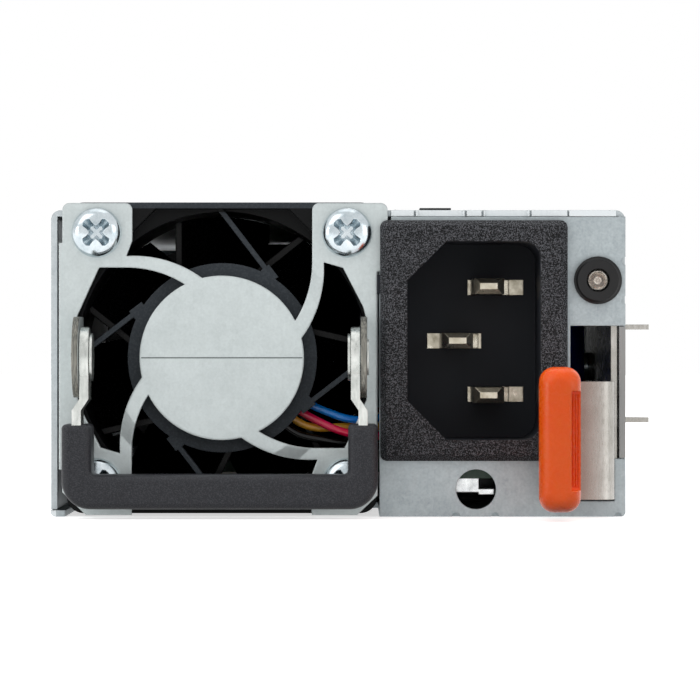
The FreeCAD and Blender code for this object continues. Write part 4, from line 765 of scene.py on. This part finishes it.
indicator = {"lensDepth": 0.55, "cupRadius": 1.0, "rimWidth": 0.12, "rimDepth": 0.9, "footRadius": 0.45,
             "cupDepth": 0.7, "centreHole": 0.02, "setBack": 0.25, "dieHalf": 0.16, "segments": 40}


def makeIndicatorCup():
    low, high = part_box("status_led")
    centre = Vector(((low.x + high.x) / 2, low.y + indicator["lensDepth"] * mm, (low.z + high.z) / 2))
    radius, cupDepth = indicator["cupRadius"], indicator["cupDepth"]
    rim = radius + indicator["rimWidth"]
    outline = [(rim, indicator["rimDepth"]), (rim, 0), (radius, 0), (indicator["footRadius"], cupDepth),
               (indicator["centreHole"], cupDepth)]
    bm = bmesh.new()
    segments = indicator["segments"]
    rows = []
    for reach, depth in outline:
        rows.append([bm.verts.new(centre + Vector((reach * math.cos(2 * math.pi * i / segments),
                                                   indicator["setBack"] + depth,
                                                   reach * math.sin(2 * math.pi * i / segments))) * mm)
                     for i in range(segments)])
    for inner, outer in zip(rows, rows[1:]):
        for i in range(segments):
            after = (i + 1) % segments
            bm.faces.new((inner[i], inner[after], outer[after], outer[i]))
    half = indicator["dieHalf"] * mm
    die = bmesh.ops.create_cube(bm, size=2 * half)["verts"]
    seat = centre + Vector((0, (indicator["setBack"] + cupDepth) * mm - half, 0))
    bmesh.ops.translate(bm, vec=seat, verts=die)
    bmesh.ops.recalc_face_normals(bm, faces=bm.faces)
    mesh = bpy.data.meshes.new("reflectorCup")
    bm.to_mesh(mesh)
    bm.free()
    shadeSmooth(mesh)
    addPiece("reflectorCup", mesh, "casing", "tinned_wire", stampedCup)


makeIndicatorCup()
print("indicator cup made")


# Barrier: a folded black film between the mains side and the output side

barrier = {"depth": 136.0, "left": -12.0, "right": 19.0, "roofGap": 1.4, "thick": 0.3, "fold": 2.4,
           "foldLean": 0.4, "bow": 0.2}


def makeBarrier():
    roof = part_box("casing_cover")[1].z - barrier["roofGap"] * mm
    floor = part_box("main_board")[1].z
    y, fold = plateFront + barrier["depth"] * mm, barrier["fold"] * mm
    left, right = barrier["left"] * mm, barrier["right"] * mm
    lean, bow = fold * barrier["foldLean"], barrier["bow"] * mm
    outline = [(left, y + fold), (left + lean, y), (0, y - bow), (right - lean, y), (right, y - fold)]
    bm = bmesh.new()
    rows = [[bm.verts.new((u, v, z)) for u, v in outline] for z in (floor, roof)]
    for i in range(len(outline) - 1):
        bm.faces.new((rows[0][i], rows[0][i + 1], rows[1][i + 1], rows[1][i]))
    bmesh.ops.solidify(bm, geom=bm.faces[:], thickness=barrier["thick"] * mm)
    bmesh.ops.recalc_face_normals(bm, faces=bm.faces)
    mesh = bpy.data.meshes.new("barrierFilm")
    bm.to_mesh(mesh)
    bm.free()
    addPiece("barrierFilm", mesh, "casing", "insulator_film", filmSheet)


makeBarrier()
print("barrier made")


# Floor, light and camera

studio = {
    "floorReach": 3.0, "floorGap": 0.02 * mm, "floorColour": "#f2f2f2", "bounceColour": "#7a7a7a",
    "floorGlow": 0.62, "worldStrength": 0.78, "cameraDistance": 550 * mm, "seenWidth": 89.5 * mm,
    "seenAcross": 1.53 * mm, "seenLevel": 21.3 * mm, "sensorWidth": 36, "nearest": 0.01, "furthest": 20,
}
lamps = {
    "keyLamp": {"spot": (-0.65, -0.65, 0.8), "target": (0, -0.09, 0.02), "size": 0.8, "power": 2.1},
    "sideLamp": {"spot": (-0.8, -0.45, 0.14), "target": (0, -0.09, 0.02), "size": 0.22, "power": 0.9},
    "fillLamp": {"spot": (0.7, -0.6, 0.12), "target": (0, -0.09, 0.02), "size": 0.5, "power": 0.9},
    "topLamp": {"spot": (0, 0.1, 0.8), "target": (0, 0, 0.02), "size": 0.6, "power": 0.6},
    "rearLamp": {"spot": (0.3, 0.8, 0.5), "target": (0, 0.09, 0.02), "size": 0.5, "power": 1.0},
}


def seenDirectly(tree):
    # 1 for rays from the camera, from gloss and through glass
    rays = addNode(tree, "LightPath")
    gloss = addNode(tree, "Math", {0: rays.outputs["Is Camera Ray"], 1: rays.outputs["Is Glossy Ray"]},
                    operation="MAXIMUM")
    return addNode(tree, "Math", {0: gloss, 1: rays.outputs["Is Transmission Ray"]}, operation="MAXIMUM")


def makeFloor():
    mesh = bpy.data.meshes.new("studioFloor")
    reach = studio["floorReach"]
    level = cadBox[0].z - studio["floorGap"]
    mesh.from_pydata([(-reach, -reach, level), (reach, -reach, level), (reach, reach, level),
                      (-reach, reach, level)], [], [(0, 1, 2, 3)])
    floor = bpy.data.objects.new("studioFloor", mesh)
    bpy.context.scene.collection.objects.link(floor)
    material = bpy.data.materials.new("paleFloor")
    material.use_nodes = True
    tree = material.node_tree
    tree.nodes.clear()
    seen = seenDirectly(tree)
    paper = addNode(tree, "Mix", {0: seen, 6: linear(studio["bounceColour"]), 7: linear(studio["floorColour"])},
                    data_type="RGBA")
    matte = addNode(tree, "BsdfDiffuse", {"Color": paper})
    strength = addNode(tree, "Math", {0: seen, 1: studio["floorGlow"]}, operation="MULTIPLY")
    glow = addNode(tree, "Emission", {"Strength": strength})
    both = addNode(tree, "AddShader", {0: matte, 1: glow})
    addNode(tree, "OutputMaterial", {"Surface": both})
    mesh.materials.append(material)


def makeWorld():
    world = bpy.data.worlds.new("paleStudio")
    bpy.context.scene.world = world
    world.use_nodes = True
    tree = world.node_tree
    tree.nodes.clear()
    strength = addNode(tree, "MapRange", {"Value": seenDirectly(tree), "To Min": studio["worldStrength"],
                                          "To Max": 1.0})
    background = addNode(tree, "Background", {"Color": linear("#ffffff"), "Strength": strength})
    addNode(tree, "OutputWorld", {"Surface": background})


def makeLamp(name, spot, target, size, power):
    lamp = bpy.data.lights.new(name, "AREA")
    lamp.shape, lamp.size, lamp.energy = "SQUARE", size, power
    holder = bpy.data.objects.new(name, lamp)
    holder.location = spot
    holder.rotation_euler = (Vector(target) - Vector(spot)).to_track_quat("-Z", "Y").to_euler()
    bpy.context.scene.collection.objects.link(holder)


def makeCamera():
    middle = Vector((studio["seenAcross"], plateFront, studio["seenLevel"]))
    lens = bpy.data.cameras.new("frontCamera")
    lens.sensor_width = studio["sensorWidth"]
    lens.lens = studio["sensorWidth"] * studio["cameraDistance"] / studio["seenWidth"]
    lens.clip_start, lens.clip_end = studio["nearest"], studio["furthest"]
    camera = bpy.data.objects.new("frontCamera", lens)
    camera.location = middle - Vector((0, studio["cameraDistance"], 0))
    camera.rotation_euler = (math.radians(90), 0, 0)
    bpy.context.scene.collection.objects.link(camera)
    bpy.context.scene.camera = camera


makeFloor()
makeWorld()
for name, lamp in lamps.items():
    makeLamp(name, **lamp)
makeCamera()
bpy.context.scene.view_settings.view_transform = "Standard"
print("studio ready")
